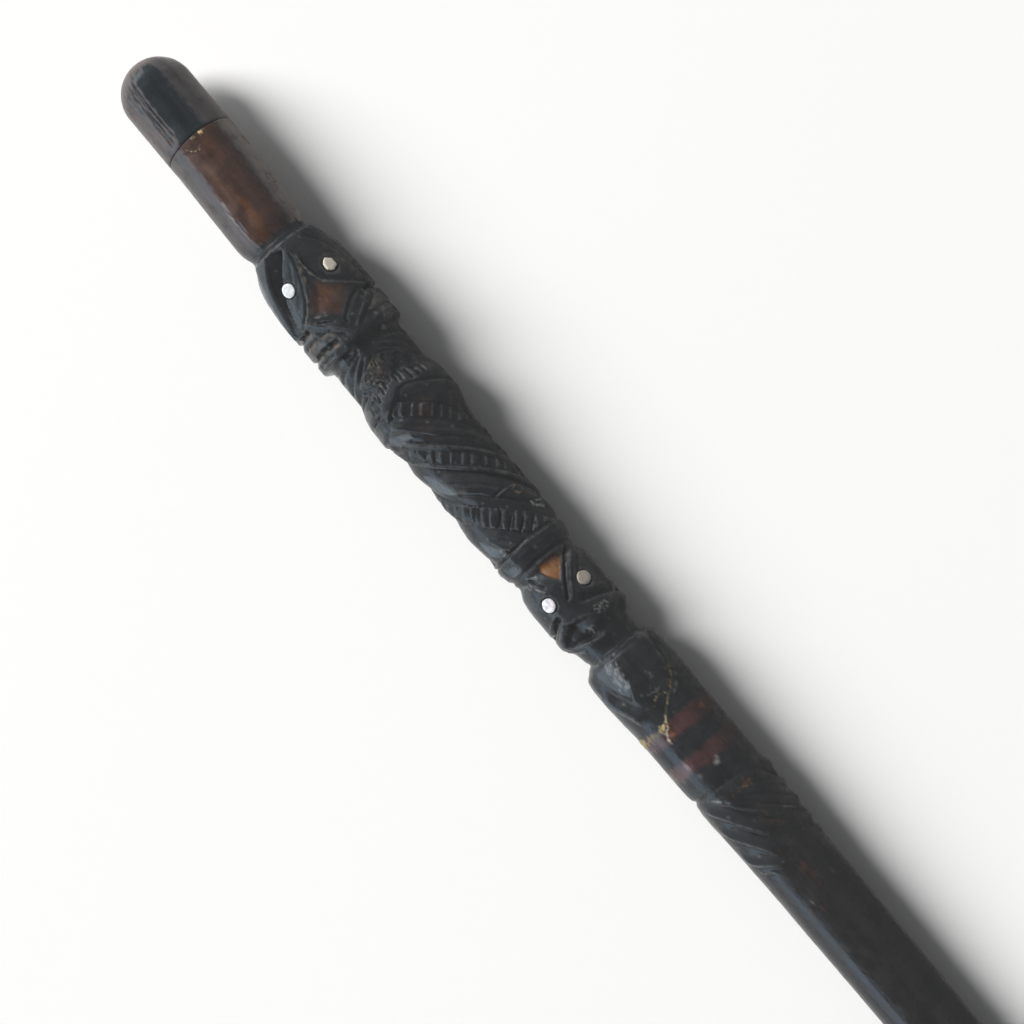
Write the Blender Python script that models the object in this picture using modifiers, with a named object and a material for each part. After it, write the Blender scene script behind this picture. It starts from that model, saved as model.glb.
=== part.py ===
"""Carved walking stick with two shell-eyed heads, lying down with its carved face up.

The stick runs along +X from the domed handle end to the plain tip. It lies on small flats
planed in one straight line along its underside, so that it doesn't roll. Every carved form is
a stroke or a panel drawn on the round surface, at a distance from the top of the carving in
millimetres and at a turn in degrees from the upper face, positive towards +Y.
The origin is at the middle of the bounding box, on the surface that the stick lies on.
"""
import math

import bmesh
import bpy
import numpy as np
from mathutils import Matrix, Vector

MM = 0.001

# Lengths along the stick, from the handle end
CAP_LENGTH = 40.7 * MM
GRIP_LENGTH = 50.0 * MM
CARVING_LENGTH = 315.0 * MM
SHAFT_LENGTH = 512.0 * MM
TIP_PARALLEL = 40.0 * MM
DOME_LENGTH = 15.0 * MM

# Radii
HANDLE_RADIUS = 15.4 * MM
GRIP_FALL = 0.9 * MM
CARVING_RADIUS = 19.5 * MM
SHAFT_RADIUS = 15.2 * MM
TIP_RADIUS = 10.9 * MM

# Flats, chamfers and the glued joint
FLAT_DEPTH = 0.5 * MM
TIP_CHAMFER = 1.2 * MM
JOINT_GAP = 0.3 * MM
JOINT_CHAMFER = 0.4 * MM

# Shell eyes: length along the stick, width across it; the corners of the chip lie on such an oval
SEAT_GAP = 0.3 * MM
SHELL_THICKNESS = 1.5 * MM
SHELL_PROUD = 0.3 * MM
SHELL_EDGE = 0.3 * MM
UPPER_LEFT_EYE = (5.9 * MM, 5.7 * MM)
UPPER_RIGHT_EYE = (7.3 * MM, 5.7 * MM)
LOWER_LEFT_EYE = (5.9 * MM, 6.0 * MM)
LOWER_RIGHT_EYE = (5.9 * MM, 6.0 * MM)
ROUND_SHELL_SIDES = 16
CHIP_SHELL_SIDES = 6

# Fineness of the surface
SIDES = 36
CROWDING = 0.36
DOME_RINGS = 6
DIAGONAL_BIAS = 0.01 * MM
SMOOTH_ANGLE = math.radians(40.0)
GRIP_RINGS = (0.25, 0.5, 0.7, 0.86, 0.93, 1.0)
SHAFT_RINGS = (0.0, 0.2, 0.4, 0.6, 0.8, 1.0)

# Stretches of the carving with their ring spacing: from, to, spacing
CARVING_RINGS = [(2.5, 10, 2.5), (10, 57, 2.25), (57, 79, 2.4), (79, 157, 2.2), (157, 212, 2.25),
                 (212, 240, 3.5), (240, 272, 8.0), (272, 315, 2.8)]

# Colours
DARK_WOOD = (0.045, 0.040, 0.038)
CAP_BLACK = (0.030, 0.035, 0.042)
SHELL_WHITE = (0.80, 0.80, 0.80)
SHELL_CREAM = (0.72, 0.66, 0.55)
SHELL_PALE = (0.60, 0.60, 0.64)
SHELL_GREY = (0.40, 0.37, 0.33)

# The carving is drawn at this length and radius, and follows the two sizes above.
DRAWN_LENGTH = 315.0
DRAWN_RADIUS = 19.5
MM_PER_DEGREE = 0.29
DEEPEST_CUT = 2.6

CARVING_START = CAP_LENGTH + GRIP_LENGTH
SHAFT_START = CARVING_START + CARVING_LENGTH
STICK_LENGTH = SHAFT_START + SHAFT_LENGTH

# Where the grip narrows into the neck, and where the widest part of the head lies on the table
WAIST_LENGTH = 7.0 * MM
HEAD_REST = CARVING_START + 30.0 * CARVING_LENGTH / DRAWN_LENGTH
REST_FALL = (CARVING_RADIUS - TIP_RADIUS) / (STICK_LENGTH - HEAD_REST)

# Outline before any stroke is cut: distance along the carving, radius
CARVING_OUTLINE = [
    (0, 12.9), (2.5, 12.9), (7, 15.3), (10, 16.9), (13, 17.9), (17, 18.8), (22, 19.3), (27, 19.5),
    (54, 19.5), (57, 16.7), (59, 16.2), (73, 16.1), (77.5, 17.9), (81, 18.7), (91, 18.9), (94.5, 17.6),
    (98, 16.6), (110, 16.5), (115, 16.2), (120, 16.3), (134, 16.5), (141, 16.6), (153, 16.3),
    (159, 16.0), (163, 15.1), (167.5, 13.4), (171.5, 15.6), (176, 16.2), (196, 16.3), (200.5, 13.2),
    (207, 11.8), (209.3, 13.6), (211.6, 16.4), (216, 17.1), (224, 17.2), (233, 16.8), (240, 16.3),
    (269, 16.2), (273.5, 15.7), (279, 16.4), (284, 16.3), (290, 15.9), (315, 15.2)]

# How far the middle line strays towards +Y: distance from the handle end, distance sideways
SIDEWAYS = [
    (0, 1.7), (48, 1.7), (72, 0.7), (84, 0.1), (118, 0.0), (238, -0.9), (303, -1.0), (368, 0.0), (918, 0.2)]

# Grooves that run right round the stick: half width, depth, then turn and distance
BORDER_OF_UPPER_HEAD = [
    (-180, 38.5), (-62, 38), (-40, 39.5), (-25, 43), (-12, 47), (3, 51.5), (16, 49), (30, 45.5), (47, 41.5),
    (62, 39), (180, 38.5)]
BORDER_OF_TWIST = [
    (-180, 93), (-88, 92), (-62, 90), (-40, 87), (-20, 83), (0, 77.5), (25, 80), (55, 84), (90, 88),
    (180, 93)]
BORDER_OF_LEAVES = [
    (-180, 276), (-88, 273.5), (-10, 273), (25, 275), (50, 279), (75, 285), (95, 287), (150, 279), (180, 276)]
MOUTH = [
    (-180, 190.5), (-88, 190.8), (-50, 188), (-25, 186), (0, 184.5), (25, 186), (50, 188.5), (88, 190.8),
    (180, 190.5)]
ROUND_GROOVES = [
    (1.9, 2.3, BORDER_OF_UPPER_HEAD),
    (1.7, 1.3, BORDER_OF_TWIST),
    (1.8, 1.4, BORDER_OF_LEAVES),
    (1.7, 1.3, MOUTH),
    (1.5, 0.9, [(-180, 155.3), (180, 155.3)]),
    (1.4, 0.8, [(-180, 163.5), (180, 163.5)])]

# Single strokes: half width, height (negative is cut), then distance and turn along the stroke
UPPER_HEAD = [
    (2.3, -1.9, [(4, -6), (10, -18), (17, -37), (24, -50), (31, -58), (37, -66)]),
    (2.3, -1.9, [(4, 14), (10, 28), (17, 47), (24, 60), (31, 67), (37, 75)]),
    (1.5, -1.1, [(13, -2), (20, -9), (26, -18), (31, -28), (35, -41), (37, -52)]),
    (1.5, -1.1, [(13, 11), (20, 13), (26, 20), (30, 31), (34, 46), (37, 62)])]
LOWER_HEAD = [
    (1.4, -1.0, [(166, -46), (170, -33), (175, -22), (181, -8), (184, -2)]),
    (1.4, -1.0, [(167, 58), (169.5, 42), (173, 29), (178, 16), (184, 3)]),
    (1.6, -1.0, [(188, -24), (192, -48), (195, -64), (197, -80)]),
    (1.6, -1.0, [(188, 24), (192, 48), (195, 64), (197, 80)])]
BREAST = [
    (2.0, -1.2, [(213, -66), (219, -56), (225, -42), (231, -26), (234, -12)]),
    (1.8, -1.0, [(210, 74), (213, 50), (220, 43), (229, 42)])]
LEAVES = [
    (1.5, -1.1, [(275, -44), (278, -30), (282, -18), (287, -3), (292, 12)]),
    (1.6, -1.2, [(281, -60), (285, -46), (290, -32), (296, -10), (303, 18)]),
    (1.6, -1.2, [(290, -66), (295, -50), (300, -36), (306, -12), (311, 8)]),
    (1.5, -0.9, [(277, -2), (280, 18), (284, 40), (290, 66)]),
    (1.5, -0.9, [(286, 8), (291, 34), (296, 60), (301, 84)]),
    (1.4, -0.7, [(302, -68), (306, -54), (309, -36)])]

# Panels: width of their sloping edge, height, then distance and turn of each corner
PANELS = [
    (1.6, -1.0, [(25.5, 2), (36, 34), (45, 4), (36, -22)]),
    (1.5, -0.9, [(165, -14), (169.5, -19), (177, 2), (168, 35), (165, 22)])]

# Places of the eyes: distance and turn
UPPER_LEFT_PLACE = (22.5, -27.0)
UPPER_RIGHT_PLACE = (24.5, 32.0)
LOWER_LEFT_PLACE = (180.0, -33.0)
LOWER_RIGHT_PLACE = (180.2, 32.0)

# The knot where the shoulders cross, and the grooves that fan out from it over the shoulders:
# how many, where the first one meets the side, and the step to the next at the side and at the knot
KNOT = (52.5, 4.0)
KNOT_RISE = 0.5
SHOULDER_GROOVES = 3
SHOULDER_SIDE = 47.3
SHOULDER_SIDE_STEP = 3.6
SHOULDER_KNOT_STEP = 0.4
SHOULDER_GROOVE = (1.3, 1.0)

# The grooves of the wrap below the knot: how many, the first one's start, the step to the next,
# half width and depth, and how far back each one lies as it goes round, in millimetres and degrees
WRAP_GROOVES = 4
WRAP_START = 56.0
WRAP_STEP = 2.2
WRAP_GROOVE = (1.2, 0.75)
WRAP_SWEEP = [(0.0, 14.0), (3.0, 38.0), (6.5, 62.0), (8.5, 96.0)]

# The twist: strands climb this many degrees a millimetre, and the pattern meets itself after a turn
TWIST_RATE = 4.0
TWIST_LEAD = 360.0 / TWIST_RATE
TWIST_END = 155.3
STRAND_EDGES = [85.8, 93.5, 99.5, 107.6, 119.2, 125.0, 133.0, 142.0, 151.3, 156.8, 165.5]
TWIST_GROOVE = (2.1, 1.2)

# The arrowheads behind the wrap: how far they lean back per degree, and where each one has its point
CHEVRON_SLOPE = 0.17
CHEVRON_EDGES = [61.0, 66.0, 70.0, 76.0]
CHEVRON_GROOVE = (1.3, 0.7)


def smooth(value):
    value = np.clip(value, 0.0, 1.0)
    return value * value * (3.0 - 2.0 * value)


def drawn(x):
    """Distance along the carving, in drawn millimetres."""
    return (x - CARVING_START) * DRAWN_LENGTH / CARVING_LENGTH


def placed(distance):
    return CARVING_START + distance * CARVING_LENGTH / DRAWN_LENGTH


def outline_radius(x):
    """Radius of the plain stick, before carving."""
    scale = CARVING_RADIUS / DRAWN_RADIUS
    carved = np.interp(drawn(x), [mark for mark, radius in CARVING_OUTLINE],
                       [radius * scale for mark, radius in CARVING_OUTLINE])
    neck = CARVING_OUTLINE[0][1] * scale
    grip = HANDLE_RADIUS - GRIP_FALL * smooth((x - CAP_LENGTH) / GRIP_LENGTH)
    waist = smooth((x - CARVING_START + WAIST_LENGTH) / WAIST_LENGTH)
    grip = grip * (1.0 - waist) + neck * waist
    fall = np.clip((x - SHAFT_START) / (SHAFT_LENGTH - TIP_PARALLEL), 0.0, 1.0)
    shaft = SHAFT_RADIUS + (TIP_RADIUS - SHAFT_RADIUS) * fall
    return np.where(x < CARVING_START, grip, np.where(x > SHAFT_START, shaft, carved))


def distance_to_stroke(along, turn, points, closed=False):
    """Distance in millimetres, on the surface, to a line through the points."""
    across = turn * MM_PER_DEGREE
    corners = [(mark, angle * MM_PER_DEGREE) for mark, angle in points]
    if closed:
        corners.append(corners[0])
    nearest = np.full(along.shape, 1000.0)
    for (x0, y0), (x1, y1) in zip(corners, corners[1:]):
        run, rise = x1 - x0, y1 - y0
        share = ((along - x0) * run + (across - y0) * rise) / (run * run + rise * rise)
        share = np.clip(share, 0.0, 1.0)
        nearest = np.minimum(nearest, np.hypot(along - x0 - share * run, across - y0 - share * rise))
    return nearest


def inside_panel(along, turn, points):
    inside = np.zeros(along.shape, dtype=bool)
    for (x0, a0), (x1, a1) in zip(points, points[1:] + points[:1]):
        crosses = (a0 > turn) != (a1 > turn)
        meets = x0 + (x1 - x0) * (turn - a0) / (a1 - a0 if a1 != a0 else 1.0)
        inside ^= crosses & (along < meets)
    return inside


def stroke(along, turn, half_width, height, points):
    near = 1.0 - distance_to_stroke(along, turn, points) / half_width
    return height * smooth(near)


def panel(along, turn, edge, height, points):
    depth_in = distance_to_stroke(along, turn, points, closed=True)
    return np.where(inside_panel(along, turn, points), height * smooth(depth_in / edge), 0.0)


def border(turn, stations):
    return np.interp(turn, [angle for angle, mark in stations], [mark for angle, mark in stations])


def round_groove(along, turn, half_width, depth, stations):
    line = border(turn, stations)
    lean = (border(turn + 1.0, stations) - border(turn - 1.0, stations)) / (2.0 * MM_PER_DEGREE)
    away = np.abs(along - line) / np.sqrt(1.0 + lean * lean)
    return -depth * smooth(1.0 - away / half_width)


def shoulder_ribs(along, turn):
    """Grooves that fan out from the knot over the shoulders and run round the back."""
    half_width, depth = SHOULDER_GROOVE
    clear = smooth((np.abs(turn - KNOT[1]) - 8.0) / 12.0)
    cut = np.zeros(along.shape)
    for number in range(SHOULDER_GROOVES):
        side = SHOULDER_SIDE + SHOULDER_SIDE_STEP * number
        near = KNOT[0] - 0.9 + SHOULDER_KNOT_STEP * number
        stations = [(-180, side), (-88, side), (-40, side - 0.4), (-10, near), (4, KNOT[0]),
                    (18, near), (48, side - 0.4), (92, side), (180, side)]
        cut += clear * round_groove(along, turn, half_width, depth, stations)
    return cut


def wrap_ribs(along, turn):
    """Smooth ribs that sweep back from the knot, on both sides."""
    half_width, depth = WRAP_GROOVE
    cut = np.zeros(along.shape)
    for number in range(WRAP_GROOVES):
        start = WRAP_START + WRAP_STEP * number
        for side in (-1.0, 1.0):
            points = [(start + back, KNOT[1] + side * angle) for back, angle in WRAP_SWEEP]
            cut += stroke(along, turn, half_width, -depth, points)
    return cut


def chevron(along, turn):
    """Nested arrowheads behind the wrap, pointing at the knot."""
    half_width, depth = CHEVRON_GROOVE
    lean = along - CHEVRON_SLOPE * np.abs(turn - KNOT[1])
    shown = smooth((110.0 - np.abs(turn)) / 25.0)
    shown = shown * smooth((border(turn, BORDER_OF_TWIST) - along) / 1.5)
    cut = np.zeros(along.shape)
    for edge in CHEVRON_EDGES:
        cut -= depth * smooth(1.0 - np.abs(lean - edge) / half_width)
    return cut * shown


def twist(along, turn):
    """Strands that climb round the body, cut apart by grooves."""
    half_width, depth = TWIST_GROOVE
    first = STRAND_EDGES[0] - 4.0
    lean = first + np.mod(along - turn / TWIST_RATE - first, TWIST_LEAD)
    shown = smooth((along - border(turn, BORDER_OF_TWIST)) / 1.5) * smooth((TWIST_END - along) / 1.5)
    cut = np.zeros(along.shape)
    for edge in STRAND_EDGES:
        cut -= depth * smooth(1.0 - np.abs(lean - edge) / half_width)
    return cut * shown


def carved_radius(x, turn):
    """Radius of the carved surface at a place along the stick and a turn in degrees."""
    along = drawn(x)
    change = np.zeros(along.shape)
    for half_width, depth, stations in ROUND_GROOVES:
        change += round_groove(along, turn, half_width, depth, stations)
    for half_width, height, points in UPPER_HEAD + LOWER_HEAD + BREAST + LEAVES:
        change += stroke(along, turn, half_width, height, points)
    for edge, height, points in PANELS:
        change += panel(along, turn, edge, height, points)
    change += stroke(along, turn, 3.0, KNOT_RISE, [KNOT, (KNOT[0] + 0.5, KNOT[1])])
    change += shoulder_ribs(along, turn) + wrap_ribs(along, turn) + chevron(along, turn) + twist(along, turn)
    return outline_radius(x) + np.maximum(change, -DEEPEST_CUT) * CARVING_RADIUS / DRAWN_RADIUS


def sideways(x):
    return np.interp(x / MM, [mark for mark, shift in SIDEWAYS], [shift for mark, shift in SIDEWAYS]) * MM


def axis_height(x):
    """The middle line sinks towards the thin end, so that head and tip both touch down."""
    return CARVING_RADIUS - FLAT_DEPTH - REST_FALL * (x - HEAD_REST)


def on_surface(x, turn, radius):
    """World points at a distance along the stick, a turn from the upper face and a radius."""
    angle = np.radians(turn)
    across = sideways(x) + radius * np.sin(angle)
    up = axis_height(x) + radius * np.cos(angle)
    return np.stack([x - STICK_LENGTH / 2.0, across, up], axis=-1)


def side_turns():
    """Turns of the long edges, crowded on the carved face."""
    share = (np.arange(SIDES) + 0.5) / SIDES - 0.5
    return np.degrees(2.0 * math.pi * share - CROWDING * np.sin(2.0 * math.pi * share))


def carved_rows():
    """Places of the rings below the joint, closer together where the wood is carved."""
    start = CAP_LENGTH + JOINT_GAP
    places = [start, start + JOINT_CHAMFER]
    places += [CAP_LENGTH + share * GRIP_LENGTH for share in GRIP_RINGS]
    for low, high, spacing in CARVING_RINGS:
        count = round((high - low) / spacing)
        places += [placed(low + (high - low) * number / count) for number in range(count)]
    places += [SHAFT_START + share * (SHAFT_LENGTH - TIP_PARALLEL) for share in SHAFT_RINGS]
    return np.array(places + [STICK_LENGTH - TIP_CHAMFER, STICK_LENGTH])


def quad_faces(points, middles, rows, sides):
    """Two triangles for each quad, cut along the diagonal that lies closer to the true surface."""
    faces = []
    for row in range(rows - 1):
        for side in range(sides):
            after = (side + 1) % sides
            a, b = row * sides + side, row * sides + after
            c, d = b + sides, a + sides
            along = np.linalg.norm((points[a] + points[c]) / 2.0 - middles[row, side])
            across = np.linalg.norm((points[b] + points[d]) / 2.0 - middles[row, side])
            if across < along - DIAGONAL_BIAS:
                faces += [(a, b, d), (b, c, d)]
            else:
                faces += [(a, b, c), (a, c, d)]
    return faces


def skin(name, grid, middles, pole=None):
    """Closed mesh over rings of points, ending flat, and flat or at a pole where it starts."""
    rows, sides = grid.shape[:2]
    points = list(grid.reshape(-1, 3))
    faces = quad_faces(points, middles, rows, sides)
    faces.append(tuple((rows - 1) * sides + side for side in range(sides)))
    if pole is None:
        faces.append(tuple(reversed(range(sides))))
    else:
        faces += [((side + 1) % sides, side, len(points)) for side in range(sides)]
        points.append(pole)
    mesh = bpy.data.meshes.new(name)
    mesh.from_pydata([tuple(point) for point in points], [], faces)
    shape = bmesh.new()
    shape.from_mesh(mesh)
    bmesh.ops.recalc_face_normals(shape, faces=shape.faces)
    shape.to_mesh(mesh)
    shape.free()
    mesh.shade_smooth()
    mesh.set_sharp_from_angle(angle=SMOOTH_ANGLE)
    return mesh


def between(values):
    return (values[:-1] + values[1:]) / 2.0


def plain_material(name, colour, roughness):
    material = bpy.data.materials.new(name)
    material.use_nodes = True
    shader = material.node_tree.nodes["Principled BSDF"]
    shader.inputs["Base Color"].default_value = (*colour, 1.0)
    shader.inputs["Roughness"].default_value = roughness
    shader.inputs["Metallic"].default_value = 0.0
    material.diffuse_color = (*colour, 1.0)
    return material


def add_object(name, mesh, collection, material=None):
    made = bpy.data.objects.new(name, mesh)
    collection.objects.link(made)
    if material:
        mesh.materials.append(material)
    return made


def make_cutter(name, mesh, collection):
    cutter = add_object(name, mesh, collection)
    cutter.hide_render = True
    cutter.display_type = "WIRE"
    return cutter


def cut_with(target, cutter):
    cut = target.modifiers.new(cutter.name, "BOOLEAN")
    cut.operation = "DIFFERENCE"
    cut.solver = "EXACT"
    cut.object = cutter


def disc_mesh(name, length, width, thickness, sides):
    """Flat oval prism with its middle at the origin, standing along Z."""
    mesh = bpy.data.meshes.new(name)
    shape = bmesh.new()
    bmesh.ops.create_cone(shape, cap_ends=True, segments=sides, radius1=0.5, radius2=0.5, depth=thickness)
    bmesh.ops.scale(shape, verts=shape.verts, vec=Vector((length, width, 1.0)))
    shape.to_mesh(mesh)
    shape.free()
    return mesh


def make_stick(collection, cutters):
    rows, turns = carved_rows(), side_turns()
    places, angles = np.meshgrid(rows, turns, indexing="ij")
    radii = carved_radius(places, angles)
    radii[0] -= JOINT_CHAMFER
    radii[-1] -= TIP_CHAMFER
    next_turns = np.append(turns[1:], turns[0] + 360.0)
    middle_places, middle_angles = np.meshgrid(between(rows), (turns + next_turns) / 2.0, indexing="ij")
    middle_angles = np.where(middle_angles > 180.0, middle_angles - 360.0, middle_angles)
    middles = on_surface(middle_places, middle_angles, carved_radius(middle_places, middle_angles))
    mesh = skin("stick", on_surface(places, angles, radii), middles)
    stick = add_object("stick", mesh, collection, plain_material("dark_wood", DARK_WOOD, 0.45))

    floor_mesh = bpy.data.meshes.new("floor_cutter")
    block = bmesh.new()
    bmesh.ops.create_cube(block, size=1.0)
    block_size = Vector((STICK_LENGTH * 1.2, CARVING_RADIUS * 3.0, CARVING_RADIUS))
    bmesh.ops.scale(block, verts=block.verts, vec=block_size)
    bmesh.ops.translate(block, verts=block.verts, vec=Vector((0.0, 0.0, -block_size.z / 2.0)))
    block.to_mesh(floor_mesh)
    block.free()
    cut_with(stick, make_cutter("floor_cutter", floor_mesh, cutters))
    return stick


def make_handle_cap(collection):
    """Domed end, glued to the grip at a plain butt joint."""
    rise = np.linspace(0.0, math.pi / 2.0, DOME_RINGS + 1)[1:]
    rows = np.append(DOME_LENGTH * (1.0 - np.cos(rise)), [CAP_LENGTH - JOINT_CHAMFER, CAP_LENGTH])
    radii = np.append(HANDLE_RADIUS * np.sin(rise), [HANDLE_RADIUS, HANDLE_RADIUS - JOINT_CHAMFER])
    places, angles = np.meshgrid(rows, side_turns(), indexing="ij")
    grid = on_surface(places, angles, np.repeat(radii[:, None], SIDES, axis=1))
    middles = (grid[:-1] + grid[1:]) / 2.0
    pole = on_surface(np.array(0.0), np.array(0.0), np.array(0.0))
    mesh = skin("handle_cap", grid, middles, pole)
    return add_object("handle_cap", mesh, collection, plain_material("black_cap", CAP_BLACK, 0.35))


def make_eye(name, place, size, sides, colour, stick, collection, cutters):
    """A shell disc and the seat that it lies in, both set square to the surface there."""
    x, turn = placed(place[0]), place[1]
    radius = float(carved_radius(np.array(x), np.array(turn)))
    top = radius + SHELL_PROUD
    length, width = size
    lean = Matrix.Rotation(math.radians(-turn), 4, "X")

    shell_mesh = disc_mesh(name, length, width, SHELL_THICKNESS, sides)
    shell = add_object(name, shell_mesh, collection, plain_material(name, colour, 0.25))
    middle = on_surface(np.array(x), np.array(turn), np.array(top - SHELL_THICKNESS / 2.0))
    shell.matrix_world = Matrix.Translation(Vector(middle)) @ lean
    edge = shell.modifiers.new("edge", "BEVEL")
    edge.width = SHELL_EDGE
    edge.segments = 1
    edge.limit_method = "ANGLE"
    edge.angle_limit = math.radians(50.0)

    # The seat's cutter is taller than the shell, so that it reaches out of the wood
    seat_height = 2.0 * SHELL_THICKNESS
    seat_length, seat_width = length + 2.0 * SEAT_GAP, width + 2.0 * SEAT_GAP
    seat_mesh = disc_mesh(name + "_seat", seat_length, seat_width, seat_height, sides)
    seat = make_cutter(name + "_seat", seat_mesh, cutters)
    seat_floor = top - SHELL_THICKNESS - SEAT_GAP
    seat_middle = on_surface(np.array(x), np.array(turn), np.array(seat_floor + seat_height / 2.0))
    seat.matrix_world = Matrix.Translation(Vector(seat_middle)) @ lean
    cut_with(stick, seat)


def main():
    for old in list(bpy.data.objects):
        bpy.data.objects.remove(old)
    pieces = bpy.data.collections.new("Carved walking stick")
    cutters = bpy.data.collections.new("Cutters")
    bpy.context.scene.collection.children.link(pieces)
    bpy.context.scene.collection.children.link(cutters)
    stick = make_stick(pieces, cutters)
    make_handle_cap(pieces)
    eyes = [
        ("eye_shell_upper_head_left", UPPER_LEFT_PLACE, UPPER_LEFT_EYE, ROUND_SHELL_SIDES, SHELL_WHITE),
        ("eye_shell_upper_head_right", UPPER_RIGHT_PLACE, UPPER_RIGHT_EYE, CHIP_SHELL_SIDES, SHELL_CREAM),
        ("eye_shell_lower_head_left", LOWER_LEFT_PLACE, LOWER_LEFT_EYE, ROUND_SHELL_SIDES, SHELL_PALE),
        ("eye_shell_lower_head_right", LOWER_RIGHT_PLACE, LOWER_RIGHT_EYE, ROUND_SHELL_SIDES, SHELL_GREY)]
    for name, place, size, sides, colour in eyes:
        make_eye(name, place, size, sides, colour, stick, pieces, cutters)


main()
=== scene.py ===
# %% [markdown]
# # A carved walking stick with shell eyes
# The stick lies on a pale table with its carved face up. It is one length of dark wood: a smooth
# grip, a head with shell eyes, ribbed shoulders, a notched twist, a second smaller head, a round
# breast with an old glued break, painted bands, leaf carving and a plain shaft. A domed cap is
# glued on above the grip. This lesson starts from the measured solids, and then gives every
# surface the fine carving, wear and colour that the solids leave out.

import math

import bmesh
import bpy
import numpy as np
from mathutils import Matrix, Vector, noise


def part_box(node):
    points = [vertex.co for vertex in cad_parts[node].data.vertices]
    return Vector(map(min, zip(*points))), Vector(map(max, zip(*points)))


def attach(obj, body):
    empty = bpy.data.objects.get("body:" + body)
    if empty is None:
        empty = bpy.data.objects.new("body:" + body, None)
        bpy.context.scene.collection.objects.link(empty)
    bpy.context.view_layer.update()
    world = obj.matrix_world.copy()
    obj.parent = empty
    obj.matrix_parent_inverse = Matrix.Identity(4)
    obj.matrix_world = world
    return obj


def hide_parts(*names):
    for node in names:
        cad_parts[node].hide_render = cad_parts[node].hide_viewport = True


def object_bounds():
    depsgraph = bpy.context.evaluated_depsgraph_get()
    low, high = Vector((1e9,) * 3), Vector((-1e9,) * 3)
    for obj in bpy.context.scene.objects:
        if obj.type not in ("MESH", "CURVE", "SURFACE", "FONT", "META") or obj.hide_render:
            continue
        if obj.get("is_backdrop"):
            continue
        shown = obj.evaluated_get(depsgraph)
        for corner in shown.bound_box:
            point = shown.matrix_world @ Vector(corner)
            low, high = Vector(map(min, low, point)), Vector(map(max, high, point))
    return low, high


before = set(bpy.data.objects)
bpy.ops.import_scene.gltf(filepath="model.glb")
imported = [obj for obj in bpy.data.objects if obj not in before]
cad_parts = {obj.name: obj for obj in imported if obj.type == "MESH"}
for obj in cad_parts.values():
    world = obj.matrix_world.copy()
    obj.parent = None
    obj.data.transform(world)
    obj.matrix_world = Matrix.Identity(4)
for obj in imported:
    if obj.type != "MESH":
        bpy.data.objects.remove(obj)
cad_low, cad_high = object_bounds()
MM = 0.001
print("nodes:", sorted(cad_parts))
print("size in mm:", [round((high - low) / MM, 1) for low, high in zip(cad_low, cad_high)])

# %% [markdown]
# ## Where the camera stands
# The picture was taken from about 0.8 m, almost straight down, from a place above the breast of
# the stick. The rings near the handle bulge away from it, which is what fixes that place. The
# stick runs down the picture to the right. A camera is built from three directions: right, up and
# back. Here they come from the run of the stick across the picture.

# %% The camera
PICTURE_PIXELS = 1024.0
PIXEL = 0.39 * MM
CAMERA_HEIGHT = 2050.0 * PIXEL
VIEW_DISTANCE = 2058.3 * PIXEL
RUN_RIGHT, RUN_DOWN = 0.6443, 0.7647
AXIS_LEVEL = 17.3 * MM
MIDDLE_SHIFT = 2.5 * MM
CAMERA_MARK, TARGET_MARK = 307.2, 235.1
DOME_START = 2.3


def from_end(distance):
    """World x of a mark on the scale read from the picture; the dome starts at mark 2.3."""
    return cad_low.x + (distance - DOME_START) * MM


def put_in_scene(name, data):
    """Makes an object of a mesh, a lamp or a camera, and links it to the scene."""
    item = bpy.data.objects.new(name, data)
    bpy.context.scene.collection.objects.link(item)
    return item


camera_place = Vector((from_end(CAMERA_MARK), MIDDLE_SHIFT, AXIS_LEVEL + CAMERA_HEIGHT))
camera_target = Vector((from_end(TARGET_MARK), MIDDLE_SHIFT, AXIS_LEVEL))
camera_data = bpy.data.cameras.new("study_camera")
camera_data.sensor_width = 36.0
camera_data.lens = camera_data.sensor_width * VIEW_DISTANCE / (PICTURE_PIXELS * PIXEL)
camera_data.clip_start = 0.01
camera_data.clip_end = 30.0
camera = put_in_scene("study_camera", camera_data)
back = (camera_place - camera_target).normalized()
right = Vector((RUN_RIGHT, RUN_DOWN, 0.0))
right = (right - back * right.dot(back)).normalized()
up = back.cross(right)
turned = Matrix((right, up, back)).transposed().to_4x4()
camera.matrix_world = Matrix.Translation(camera_place) @ turned
bpy.context.scene.camera = camera
print("lens in mm:", round(camera_data.lens, 1))

# %% [markdown]
# ## Table and dark sheet
# The stick lies on a wide white table, so that its shadow has somewhere to fall. A dark sheet
# stands on the right. It is seen only in the polish, where it puts a dark reflection that keeps that
# side of the wood black, in place of the dark side of a room.

# %% The table
TABLE_SIZE = 60.0
TABLE_DROP = 0.05 * MM
# How far beyond the middle line the dark sheet stands, half its length, and its height
DARK_SHEET_PLACE, DARK_SHEET_HALF_LENGTH, DARK_SHEET_HEIGHT = 0.027, 0.6, 0.12


def new_finish(name, **values):
    """A new material; returns it with its network and its shader. Values go on the shader."""
    finish = bpy.data.materials.new(name)
    finish.use_nodes = True
    shader = finish.node_tree.nodes["Principled BSDF"]
    for socket, value in values.items():
        shader.inputs[socket.replace("_", " ")].default_value = value
    return finish, finish.node_tree, shader


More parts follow.
